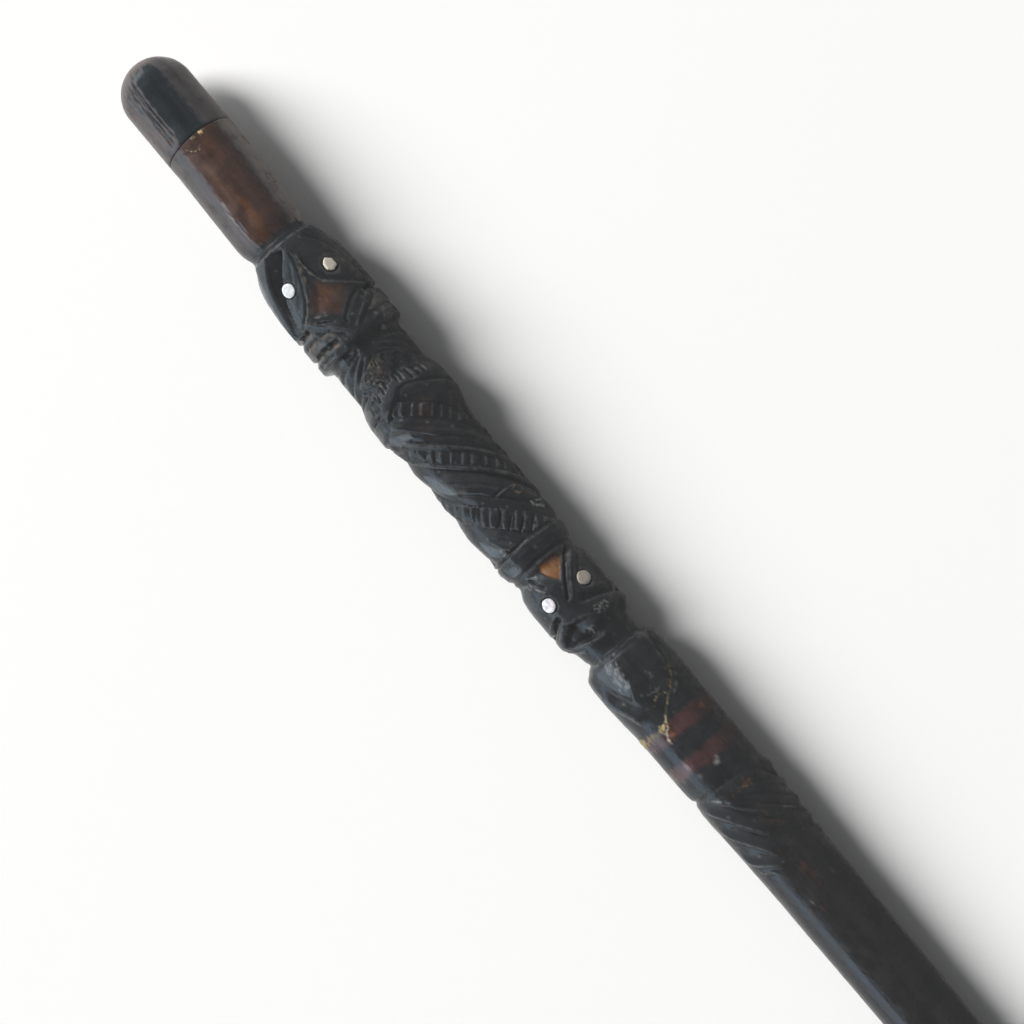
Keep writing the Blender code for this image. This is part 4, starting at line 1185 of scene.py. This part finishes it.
# The bluish patch at 253.6 mm is painted light on the rubbed flat there
lay_patches([((0.115, 0.110, 0.105), (0.7, 245.6, -37, 2.2, 5, 0.7, 0.4), (0.4, 186.8, -42, 3, 9, 0.8, 0.3)),
             ((0.075, 0.083, 0.088), (0.7, 253.6, -43, 2.0, 9, 0.7, 0.3)),
             ((0.055, 0.058, 0.056), (0.7, 171.6, -64, 3.2, 16, 0.5, 0.2),
              (0.7, 180.8, -66, 3.6, 16, 0.5, 0.2))])
lay_patches([((0.17, 0.165, 0.16), (0.7, 358.5, 5, 1.5, 5, 0.5, 0.5)),
             ((0.20, 0.165, 0.165), (0.5, 353.5, -33, 3.0, 10, 0.6, 0.4)),
             ((0.10, 0.098, 0.092), (0.6, 323, 3, 2.4, 9, 0.6, 0.4), (0.6, 318, 12, 1.6, 6, 0.6, 0.4)),
             ((0.19, 0.185, 0.178), (0.75, 285.6, 25, 2.0, 20, 0.6, 0.5),
              (0.75, 290.6, -12, 2.6, 9, 0.6, 0.5), (0.75, 257.2, 38, 0.9, 6, 0.6))], scratched)
starts = [(303.5 + 12.5 * spread(number, GOLDEN), -34.0 + 26.0 * spread(number, SECOND_STEP))
          for number in range(SCRATCH_TRIES)]
starts = [(mark, turn) for mark, turn in starts
          if abs(turn - STRIP_TURN - STRIP_LEAN * (mark - STRIP_MARK)) < STRIP_HALF_WIDTH]
for number, (mark, turn) in enumerate(starts):
    end = (mark + 0.5 + 0.7 * spread(number, FOURTH_STEP), turn - 4.0 * spread(number, FIFTH_STEP))
    rows = rings_near([(mark, turn), end], 1.0)
    away, place = line_distance(ALONG[rows], TURN, [(mark, turn), end])
    lay_over(tone[rows], SCRATCH_GREY, 0.6 * smooth((0.34 + 0.5 * ragged[rows] - np.abs(away)) / 0.3))
print("scratches on the breast:", len(starts))

# %% [markdown]
# ## Painted shade, worn ridges and painted highlights
# Now the two measures from before are used: grooves are painted darker as shade, and ridges lose
# their paint and are painted paler, as wear and as highlight. On the right the ridges are painted
# paler still, as the light they catch. Behind the raised edge of each leaf a dull, dark strip is
# painted as shade. The last marks stand on top of all that: the loop, the knob with painted
# highlights, scratches, a patch of painted light on a rubbed flat, and knocked spots.

# %% Paint shade in the grooves, and wear and highlights on the ridges
GROOVE_SHADE_BLACK = (0.007, 0.0075, 0.008)
WORN_EDGE_HIGHLIGHT = (0.040, 0.045, 0.047)
RIGHT_RIDGE_HIGHLIGHT = (0.105, 0.100, 0.094)
LEAF_SHADE_BLACK = (0.006, 0.0065, 0.007)
LOOP_HIGHLIGHT_GREY = (0.24, 0.215, 0.19)
LOOP_BROWN = (0.15, 0.10, 0.065)
# The loop is laid in brown; the grey and white lines are painted highlights on the loop, on the rim of the
# knob, on a raised bead beside the knot and along two fine lines
# Colour, half width and line of the marks that are drawn last
LATE_MARKS = [
    (LOOP_BROWN, 0.55, [(229.6, 33), (229.0, 42), (230.2, 52)]),
    (LOOP_BROWN, 0.45, [(230.4, 33), (232.4, 38), (232.2, 45)]),
    (LOOP_HIGHLIGHT_GREY, 0.4, [(231.4, 46), (233.6, 53)]),
    ((0.50, 0.50, 0.49), 0.45, [(237.6, 46), (238.2, 56), (239.6, 68)]),
    ((0.42, 0.42, 0.41), 0.4, [(239.0, 44), (240.6, 55), (242.2, 68)]),
    ((0.22, 0.22, 0.21), 0.95, [(149.2, 36), (149.8, 46)]),
    ((0.10, 0.10, 0.098), 0.3, [(243.4, 37), (245.2, 28), (247.2, 19)]),
    ((0.085, 0.085, 0.083), 0.3, [(241.2, 28), (243.4, 15), (245.2, 4)])]

# Painted shade: the grooves are laid darker, except on the grip
lay(GROOVE_SHADE_BLACK, 0.75 * groove * (1.0 - grip_part))
# Worn paint and painted highlight: the ridges are laid a paler blue-grey
lay(WORN_EDGE_HIGHLIGHT, 0.8 * ridge * smooth((ragged + 0.5) / 0.6) * band(95, 410, 2.0))
# Painted highlights: the ridges on the right side are laid paler, as the light they catch
right_ridge_highlight = 0.55 * ridge * smooth((TURN - 12.0) / 30.0) * smooth((middling + 0.35) / 0.5)
lay(RIGHT_RIDGE_HIGHLIGHT, right_ridge_highlight * band(100, 410, 3.0))
# Painted shade: a dull, dark strip behind the raised edge of each leaf, where its slope faces away from the
# light
leaf_shade = np.zeros((RINGS, SIDES))
for below, above, height, line in LEAF_EDGES[1:4]:
    rows = rings_near(line, above)
    away, place = line_distance(ALONG[rows], TURN, line)
    behind = smooth((away - 0.2) / 0.4) * smooth((5.2 - away) / 3.0) * from_ends(place, 0.2)
    leaf_shade[rows] = np.maximum(leaf_shade[rows], behind)
lay(LEAF_SHADE_BLACK, 0.85 * leaf_shade)
# The loop, and the painted highlights of the knob, the bead and the fine lines
for colour, half_width, line in LATE_MARKS:
    draw_broken_line(line, colour, half_width)
# The patch at 252.4 mm is painted light on the same rubbed flat, broken up by the scratch noise
lay_patches([((0.19, 0.175, 0.16), (0.8, 245.4, -36, 2.0, 5, 0.6, 0.5), (0.8, 252.4, -37, 1.6, 4, 0.6, 0.5))],
            scratched)
lay_patches([((0.26, 0.25, 0.245), (0.85, 358.5, 6, 1.9, 7, 0.6, 0.3))], smooth((fine + 0.8) / 0.4))
lay_patches([((0.060, 0.030, 0.024), (0.6, 410, 4, 6, 9, 0.9, 0.5)),
             ((0.085, 0.050, 0.022), (0.7, 320.8, 37.5, 3.4, 4.5, 0.7, 0.7),
              (0.5, 325.5, 24, 2.0, 5, 0.7, 0.6))])
print("late marks:", len(LATE_MARKS))

# %% [markdown]
# ## Glue and filler
# Glue was pressed out of the break and set in small pale and golden blobs along the seam. The
# filler on the left is yellow. A little glue also stands along the joint of the cap. All of it is
# dull and lies on top of the paint, so it raises the skin as well.

# %% Glue along the seam and the joint
GLUE_CREAM = (0.42, 0.36, 0.26)
GLUE_GOLD = (0.10, 0.075, 0.035)
FILLER_YELLOW = (0.30, 0.25, 0.10)
FILLER_OLIVE = (0.13, 0.11, 0.055)
JOINT_CREAM = (0.55, 0.42, 0.25)
JOINT_ARC = [(46.8, 3), (48.6, -1), (49.4, -6), (49, -13), (47.8, -18), (46, -22)]
GLUE_HEIGHT, FILLER_HEIGHT = 0.35, 0.3

seam_distance, seam_place = line_distance(ALONG, TURN, SEAM)
branch_distance = line_distance(ALONG, TURN, SEAM_BRANCH)[0]
seam_width = 0.36 + 0.55 * ragged + 0.4 * smooth((seam_place - 0.68) / 0.15)
glue = smooth((seam_width - np.abs(seam_distance)) / 0.4)
glue = np.maximum(glue, 0.6 * smooth((0.4 + 0.7 * ragged - np.abs(branch_distance)) / 0.4))
filler = np.maximum(patch(336.4, -20, 1.5, 9, 0.5, 0.8), 0.9 * patch(336.6, -74, 2.8, 17, 0.5, 0.4))
lay(FILLER_YELLOW, 0.8 * filler)
lay_patches([(FILLER_OLIVE, (0.7, 336.6, -42, 1.9, 18, 0.7, 0.5))])
lay(GLUE_GOLD, 0.9 * glue)
cream_share = 0.25 + 0.65 * smooth((seam_place - 0.6) / 0.15)
lay(GLUE_CREAM, glue * cream_share * smooth((fine + 0.3) / 0.4))
radius = radius + GLUE_HEIGHT * glue * smooth(fine + 0.6) + FILLER_HEIGHT * filler

joint_glue = np.maximum(patch(44.6, 11, 1.2, 4.5, 0.5, 0.8), patch(45.0, -3, 1.0, 3.2, 0.5, 0.8))
arc_distance = line_distance(ALONG, TURN, JOINT_ARC)[0]
joint_glue = np.maximum(joint_glue, 0.6 * smooth((0.22 + 0.55 * ragged - np.abs(arc_distance)) / 0.35))
lay(GLUE_GOLD, 0.8 * joint_glue)
lay(JOINT_CREAM, joint_glue * smooth((fine + 0.1) / 0.3))
radius = radius + FILLER_HEIGHT * joint_glue
print("points with glue:", int((glue + joint_glue > 0.5).sum()))

# %% [markdown]
# Small nicks and grains of dust come last, each a spot of its own size and shape. Besides the
# colour, one more value is kept for each point: how dull it is, for glue, the strips of painted
# shade behind the leaf edges, and the bare sides.

# %% Nicks and dullness
NICKS = 150
NICK_GREY = (0.085, 0.083, 0.078)
NICK_HEIGHT = 0.10
SIXTH_STEP = 0.29

for number in range(NICKS):
    mark = 97.0 + 335.0 * spread(number, GOLDEN)
    turn = -80.0 + 160.0 * spread(number, SECOND_STEP)
    size = 0.35 + 0.35 * spread(number, THIRD_STEP)
    stretch = 0.7 + 0.6 * spread(number, SIXTH_STEP)
    rows = rings_near([(mark, turn)], 1.5)
    reach = np.hypot(ALONG[rows] - mark, (TURN - turn) * MM_PER_DEGREE * stretch)
    spot = smooth(1.35 - reach / size)
    lay_over(tone[rows], NICK_GREY, 0.6 * spot)
    radius[rows] += NICK_HEIGHT * spot
matt = np.clip(glue + filler + joint_glue + 0.25 * grip_part * (1.0 - grip_middle), 0.0, 1.0) + 1.8 * leaf_shade
print("nicks:", NICKS, "lightest tone:", round(float(tone.max()), 3))

# %% [markdown]
# ## Building the skin
# The rings become a closed mesh: four-sided faces between rings, and one flat face at each end. The
# cap needs the same thing with a pole at one end. Normals are turned outwards, and edges sharper
# than 55 degrees stay sharp. The colours and the dullness go on the points as attributes, which
# the material reads.

# %% Close a skin and store its colours
SHARP_ANGLE = 55.0


def closed_skin(name, grid, pole=None):
    """A closed mesh over rings of points; it starts with a flat face, or at a pole."""
    rings, sides = grid.shape[:2]
    points = grid.reshape(-1, 3).tolist()
    faces = []
    for ring in range(rings - 1):
        for side in range(sides):
            after = (side + 1) % sides
            here, there = ring * sides, (ring + 1) * sides
            faces.append((here + side, here + after, there + after, there + side))
    faces.append(tuple((rings - 1) * sides + side for side in range(sides)))
    if pole is None:
        faces.append(tuple(reversed(range(sides))))
    else:
        faces += [((side + 1) % sides, side, len(points)) for side in range(sides)]
        points.append(pole)
    mesh = bpy.data.meshes.new(name)
    mesh.from_pydata(points, [], faces)
    shape = bmesh.new()
    shape.from_mesh(mesh)
    bmesh.ops.recalc_face_normals(shape, faces=shape.faces)
    shape.to_mesh(mesh)
    shape.free()
    mesh.shade_smooth()
    mesh.set_sharp_from_angle(angle=math.radians(SHARP_ANGLE))
    return mesh


def store_tone(mesh, colours, dull):
    """Keeps a colour and a dullness on every point of a mesh."""
    count = len(mesh.vertices)
    flat = np.ones((count, 4), dtype=np.float32)
    flat[:len(colours), :3] = colours
    attribute = mesh.attributes.new("tone", "FLOAT_COLOR", "POINT")
    attribute.data.foreach_set("color", flat.ravel())
    values = np.zeros(count, dtype=np.float32)
    values[:len(dull)] = dull
    attribute = mesh.attributes.new("dull", "FLOAT", "POINT")
    attribute.data.foreach_set("value", values)


def place_piece(mesh, node):
    """Puts a mesh in the scene in place of a node of the measured model."""
    piece = put_in_scene(mesh.name, mesh)
    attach(piece, "root")
    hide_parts(node)


print("edges stay sharp from", SHARP_ANGLE, "degrees")

# %% [markdown]
# Points that would pass below the table are set level with it. Those are the flats that the stick
# rests on. A few points at the sides are held just inside the measured box.

# %% Build the carved stick
JOINT_RADIUS = 15.0
BOX_MARGIN = 0.02 * MM

radius[0] = JOINT_RADIUS
radius[-1] = TIP_RADIUS - TIP_CHAMFER
grid = on_surface(ALONG, TURN, radius)
outside = int((grid[..., 1:] > np.array(cad_high)[1:] - BOX_MARGIN).sum())
grid[..., 1] = np.clip(grid[..., 1], cad_low.y + BOX_MARGIN, cad_high.y - BOX_MARGIN)
grid[..., 2] = np.clip(grid[..., 2], 0.0, cad_high.z - BOX_MARGIN)
print("points held inside the measured box:", outside)
stick_mesh = closed_skin("carved_stick", grid)
store_tone(stick_mesh, tone.reshape(-1, 3), matt.ravel())
place_piece(stick_mesh, "stick")
print("skin faces:", len(stick_mesh.polygons))

# %% [markdown]
# ## Painted wood
# The finish is black paint over close-grained wood, rubbed by many hands: glossy, with a fine
# grain that runs along the stick. Its material is a small network of nodes. A few short helpers
# come first, because every finish needs the same kinds of node: noise, a ramp and a sum.

# %% Helpers for material networks
def link(tree, source, output, target, socket):
    """Joins an output of one material node to a socket of another."""
    tree.links.new(source.outputs[output], target.inputs[socket])


def noise_node(tree, coordinates, scale, detail, stretch=(1.0, 1.0, 1.0)):
    """A noise texture over stretched coordinates."""
    mapping = tree.nodes.new("ShaderNodeMapping")
    mapping.inputs["Scale"].default_value = stretch
    tree.links.new(coordinates, mapping.inputs["Vector"])
    texture = tree.nodes.new("ShaderNodeTexNoise")
    texture.inputs["Scale"].default_value = scale
    texture.inputs["Detail"].default_value = detail
    link(tree, mapping, "Vector", texture, "Vector")
    return texture


def ramp_node(tree, source, low, high, low_value, high_value):
    """Turns a stretch of noise values into another stretch."""
    node = tree.nodes.new("ShaderNodeMapRange")
    node.inputs["From Min"].default_value = low
    node.inputs["From Max"].default_value = high
    node.inputs["To Min"].default_value = low_value
    node.inputs["To Max"].default_value = high_value
    link(tree, source, "Fac", node, "Value")
    return node


def math_node(tree, operation, first, second, third=None):
    """A sum or product; an input is a number, or a node with the name of its output."""
    node = tree.nodes.new("ShaderNodeMath")
    node.operation = operation
    for socket, value in enumerate((first, second, third)):
        if isinstance(value, tuple):
            link(tree, *value, node, socket)
        elif value is not None:
            node.inputs[socket].default_value = value
    return node


print("helpers for materials ready")

# %% [markdown]
# The stored tones are broken up by a cloudy noise and a long grain and give the colour. The cloud
# and the stored dullness give the roughness, and grain and dents give a gentle bump. The carving
# itself is never bump, because a bump has no outline and throws no shadow.

# %% Make the wood finish
SHINE_LEVEL = 0.26
SHINE_TINT = (0.84, 0.93, 1.0, 1.0)
CLOUD_SCALE, GRAIN_SCALE, DENT_SCALE = 160.0, 900.0, 620.0
GRAIN_STRETCH = (0.06, 1.0, 1.0)


def stored_value(tree, name):
    """A node that reads a value stored on the points."""
    node = tree.nodes.new("ShaderNodeAttribute")
    node.attribute_name = name
    return node


def wood_finish(name, roughness, grain_depth):
    """Painted wood that reads the stored tones of the skin."""
    finish, tree, shader = new_finish(name, Specular_IOR_Level=SHINE_LEVEL, Specular_Tint=SHINE_TINT)
    place = tree.nodes.new("ShaderNodeTexCoord").outputs["Object"]

    cloud = noise_node(tree, place, CLOUD_SCALE, 4.0)
    grain = noise_node(tree, place, GRAIN_SCALE, 3.0, GRAIN_STRETCH)
    cloud_shade = ramp_node(tree, cloud, 0.3, 0.7, 0.72, 1.3)
    grain_shade = ramp_node(tree, grain, 0.3, 0.7, 0.85, 1.15)
    both = math_node(tree, "MULTIPLY", (cloud_shade, "Result"), (grain_shade, "Result"))
    shade = tree.nodes.new("ShaderNodeVectorMath")
    shade.operation = "SCALE"
    link(tree, stored_value(tree, "tone"), "Color", shade, "Vector")
    link(tree, both, "Value", shade, "Scale")
    link(tree, shade, "Vector", shader, "Base Color")

    shine = ramp_node(tree, cloud, 0.35, 0.65, roughness - 0.06, roughness + 0.10)
    rougher = math_node(tree, "MULTIPLY_ADD", (stored_value(tree, "dull"), "Fac"), 0.25, (shine, "Result"))
    link(tree, rougher, "Value", shader, "Roughness")

    dents = noise_node(tree, place, DENT_SCALE, 6.0)
    heights = math_node(tree, "MULTIPLY_ADD", (grain, "Fac"), 0.5, (dents, "Fac"))
    bump = tree.nodes.new("ShaderNodeBump")
    bump.inputs["Strength"].default_value = 0.5
    bump.inputs["Distance"].default_value = grain_depth * MM
    link(tree, heights, "Value", bump, "Height")
    link(tree, bump, "Normal", shader, "Normal")
    return finish


stick_mesh.materials.append(wood_finish("rubbed_black_wood", roughness=0.25, grain_depth=0.24))
print("finish:", stick_mesh.materials[0].name)

# %% [markdown]
# ## The glued cap
# The end of the handle is a separate domed piece. Its upper face still has smooth blue-black paint,
# and its sides are worn to dull grey-brown wood, with long flaking cracks along the left edge of the
# paint. It is made in the same way as the stick, with a dome in place of the first rings.

# %% Rings of the cap
CAP_END = 43.0
CAP_RADIUS = 15.4
DOME_LENGTH = 15.0
CAP_SIDES = 200
DOME_RINGS, STRAIGHT_RINGS = 30, 56

share_round = (np.arange(CAP_SIDES) + 0.5) / CAP_SIDES - 0.5
cap_turn = np.degrees(2.0 * math.pi * share_round)[None, :]
rise = np.linspace(0.0, math.pi / 2.0, DOME_RINGS + 1)[1:]
straight_marks = np.linspace(DOME_START + DOME_LENGTH, CAP_END, STRAIGHT_RINGS + 1)[1:]
cap_marks = np.append(DOME_START + DOME_LENGTH * (1.0 - np.cos(rise)), straight_marks)
cap_radii = np.append(CAP_RADIUS * np.sin(rise), np.full(STRAIGHT_RINGS, CAP_RADIUS))
cap_along = cap_marks[:, None]
print("cap rings:", len(cap_marks))

# %% [markdown]
# The cracks of the cap are narrow cuts that wander along the grain, in the dull strip beside the
# dark paint. Their wandering comes from smooth noise, so no two run alike.

# %% Cut the cracks of the cap
# From, to, turn, depth and width in degrees
CRACKS = [(8, 42, -22, 0.45, 1.7), (12, 36, -26, 0.35, 1.5), (22, 42, -29.5, 0.4, 1.5),
          (15, 42, -33.5, 0.3, 1.5), (28, 42.5, -37, 0.4, 1.5), (10, 22, -31, 0.25, 1.5),
          (12, 26, -40, 0.2, 1.5)]


def cap_noise(along_scale, round_scale, seed):
    """Smooth noise over the cap, made like that of the stick."""
    return noise_over(cap_along, cap_turn, CAP_RADIUS, (along_scale, round_scale), seed)


cap_cloud = cap_noise(0.12, 0.3, 5.5)
cap_ragged = cap_noise(0.35, 0.8, 12.2)
cap_fine = cap_noise(0.5, 1.6, 31.7)
cap_relief = 0.10 * cap_cloud + 0.05 * cap_ragged
cracked = np.zeros_like(cap_cloud)
for low, high, turn, depth, width in CRACKS:
    centre = turn + 2.6 * cap_noise(0.05, 0.0, turn) + 1.1 * cap_ragged + 0.9 * cap_fine
    shown = smooth((cap_along - low) / 3.0) * smooth((high - cap_along) / 3.0)
    crack = np.clip(1.0 - np.abs(cap_turn - centre) / width, 0.0, 1.0) * shown
    cracked = np.maximum(cracked, crack)
    cap_relief -= depth * crack
print("cracks:", len(CRACKS))

# %% [markdown]
# The cap is coloured as the stick was: bare grey wood first, paler on the right and earthy in
# patches, with the end of the dome laid in the same warm tone as painted light on the dome, then
# the blue-black paint with its ragged edges, and last the dark of the cracks.

# %% Colour and build the cap
CAP_PAINT = (0.0105, 0.0150, 0.0190)
CAP_BARE = (0.062, 0.058, 0.060)
CAP_EARTH_AND_DOME_LIGHT = (0.082, 0.062, 0.055)
CAP_RUST = (0.12, 0.068, 0.042)
CAP_RIGHT = (0.225, 0.198, 0.188)
CAP_CRACK = (0.012, 0.010, 0.010)
BARE_DULLNESS = 0.35
PAINT_LEFT, PAINT_RIGHT = -20.5, 29.0
DRAWN_IN_AT_JOINT = 0.3

left_edge = PAINT_LEFT - 7.0 * smooth((cap_along - 36.0) / 6.0) + 5.0 * cap_ragged
right_edge = PAINT_RIGHT + 5.0 * cap_ragged
painted = smooth((cap_turn - left_edge) / 3.5) * smooth((right_edge - cap_turn) / 9.0)
painted = painted * smooth((cap_along - 7.5 - 2.5 * cap_ragged) / 3.0)
cap_tone = np.zeros((*cap_cloud.shape, 3)) + np.array(CAP_BARE)
for colour, amount in (
        (CAP_RIGHT, smooth((cap_turn - 38.0) / 24.0) * (0.75 + 0.5 * cap_cloud)),
        # Earthy patches, and at the end of the dome the same tone as painted light where the dome faces the
        # window
        (CAP_EARTH_AND_DOME_LIGHT, smooth((cap_cloud + 0.05) / 0.5) * 0.35 + 0.7 * smooth((11.0 - cap_along) / 6.0)),
        (CAP_RUST, 0.5 * smooth((cap_fine - 0.24) / 0.2) * smooth((-20.0 - cap_turn) / 10.0)),
        (CAP_PAINT, painted),
        (CAP_CRACK, 0.9 * smooth(cracked / 0.6))):
    lay_over(cap_tone, colour, amount)
# The relief fades out towards the pole, and the last ring is drawn in a little at the joint
cap_radius = cap_radii[:, None] + cap_relief * smooth((cap_along - DOME_START) / 6.0)
cap_radius = np.minimum(cap_radius * np.ones((1, CAP_SIDES)), CAP_RADIUS)
cap_radius[-1] -= DRAWN_IN_AT_JOINT
pole = on_surface(np.array(DOME_START), np.array(0.0), np.array(0.0)).tolist()
cap_mesh = closed_skin("domed_cap", on_surface(cap_along, cap_turn, cap_radius), pole)
store_tone(cap_mesh, cap_tone.reshape(-1, 3), (BARE_DULLNESS * (1.0 - painted)).ravel())
cap_mesh.materials.append(wood_finish("worn_cap_paint", roughness=0.24, grain_depth=0.15))
place_piece(cap_mesh, "handle_cap")
print("cap faces:", len(cap_mesh.polygons))

# %% [markdown]
# ## Shell eyes
# Each eye is a chip of shell with a slightly uneven outline, a rounded rim and a softly domed face.
# Three are round, and the cream one is six-sided. Shell is pale and glossy, and it shines in bands
# because it is built of thin layers. A stretched noise that runs through three pale colours gives
# those bands.

# %% Finish of the shells
# Slot, corners of the outline (40 for a round one), its unevenness, and three tones
SHELLS = {
    "eye_shell_upper_head_left": (
        "shell_white", 40, 0.02, (0.66, 0.68, 0.71), (0.55, 0.59, 0.63), (0.72, 0.73, 0.73)),
    "eye_shell_upper_head_right": (
        "shell_cream", 6, 0.05, (0.62, 0.63, 0.40), (0.70, 0.60, 0.62), (0.66, 0.66, 0.42)),
    "eye_shell_lower_head_left": (
        "shell_iridescent", 40, 0.02, (0.74, 0.75, 0.78), (0.44, 0.41, 0.45), (0.62, 0.60, 0.63)),
    "eye_shell_lower_head_right": (
        "shell_grey", 40, 0.03, (0.30, 0.26, 0.22), (0.40, 0.36, 0.30), (0.34, 0.31, 0.27))}


def shell_finish(name, low, middle, high):
    """Glossy shell with bands of three tones."""
    finish, tree, shader = new_finish(name, Roughness=0.22, Coat_Weight=0.5, Coat_Roughness=0.1)
    place = tree.nodes.new("ShaderNodeTexCoord").outputs["Object"]
    layers = noise_node(tree, place, 330.0, 2.0, (1.0, 0.45, 1.0))
    ramp = tree.nodes.new("ShaderNodeValToRGB")
    ramp.color_ramp.elements[0].position = 0.38
    ramp.color_ramp.elements[0].color = (*low, 1.0)
    ramp.color_ramp.elements[1].position = 0.62
    ramp.color_ramp.elements[1].color = (*high, 1.0)
    ramp.color_ramp.elements.new(0.5).color = (*middle, 1.0)
    link(tree, layers, "Fac", ramp, "Fac")
    link(tree, ramp, "Color", shader, "Base Color")
    return finish


print("shell finishes:", [shell[0] for shell in SHELLS.values()])

# %% [markdown]
# The outline of a chip is a circle, or a polygon with softened sides, that two slow waves make
# uneven. A short profile from the bottom edge to the face turns that outline into rings, and the
# same function closes them into a solid.

# %% Make the shell eyes
RIM_POINTS = 48
MOST_CORNERS = 12
LENGTHWISE = Vector((1.0, 0.0, 0.0))
# Width as a share, and height in millimetres, from the lower edge to the face
HALF = SHELL_THICKNESS / 2.0
RIM_PROFILE = [(0.94, -HALF), (1.0, -HALF + 0.15), (1.0, HALF - 0.30), (0.97, HALF - 0.14),
               (0.90, HALF - 0.05), (0.6, HALF - 0.02)]


def shell_mesh(name, size, corners, unevenness):
    """A thin chip with a rounded rim."""
    middle, outward, sideward, length, width = size
    angles = np.arange(RIM_POINTS) * 2.0 * math.pi / RIM_POINTS
    reach = np.ones(RIM_POINTS)
    if corners < MOST_CORNERS:
        sector = 2.0 * math.pi / corners
        flat_side = math.cos(sector / 2.0) / np.cos(np.mod(angles, sector) - sector / 2.0)
        reach = 0.25 + 0.75 * flat_side
    waves = 1.0 + np.sin(angles * 3.0 + 0.7) * 0.5 + np.sin(angles * 5.0) * 0.5
    reach = reach * (1.0 - unevenness * waves)
    rings = []
    for scale, height in RIM_PROFILE:
        x = np.cos(angles) * reach * scale * length / 2.0
        y = np.sin(angles) * reach * scale * width / 2.0
        rings.append([middle + (LENGTHWISE * float(a) + sideward * float(b) + outward * height) * MM
                      for a, b in zip(x, y)])
    return closed_skin(name, np.array([[tuple(point) for point in ring] for ring in rings]))


for node, (slot_name, corners, unevenness, *tones) in SHELLS.items():
    mesh = shell_mesh(node.replace("eye_shell", "shell"), eye_frames[node], corners, unevenness)
    mesh.materials.append(shell_finish(slot_name + "_finish", *tones))
    place_piece(mesh, node)
print("shell eyes:", len(SHELLS))

# %% [markdown]
# ## The dressed size
# The size of the dressed stick is printed, as the size of the measured model was at the start, so
# that the two can be compared.

# %% Print the dressed size
low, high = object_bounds()
print("dressed size in mm:", [round((b - a) / MM, 1) for a, b in zip(low, high)])
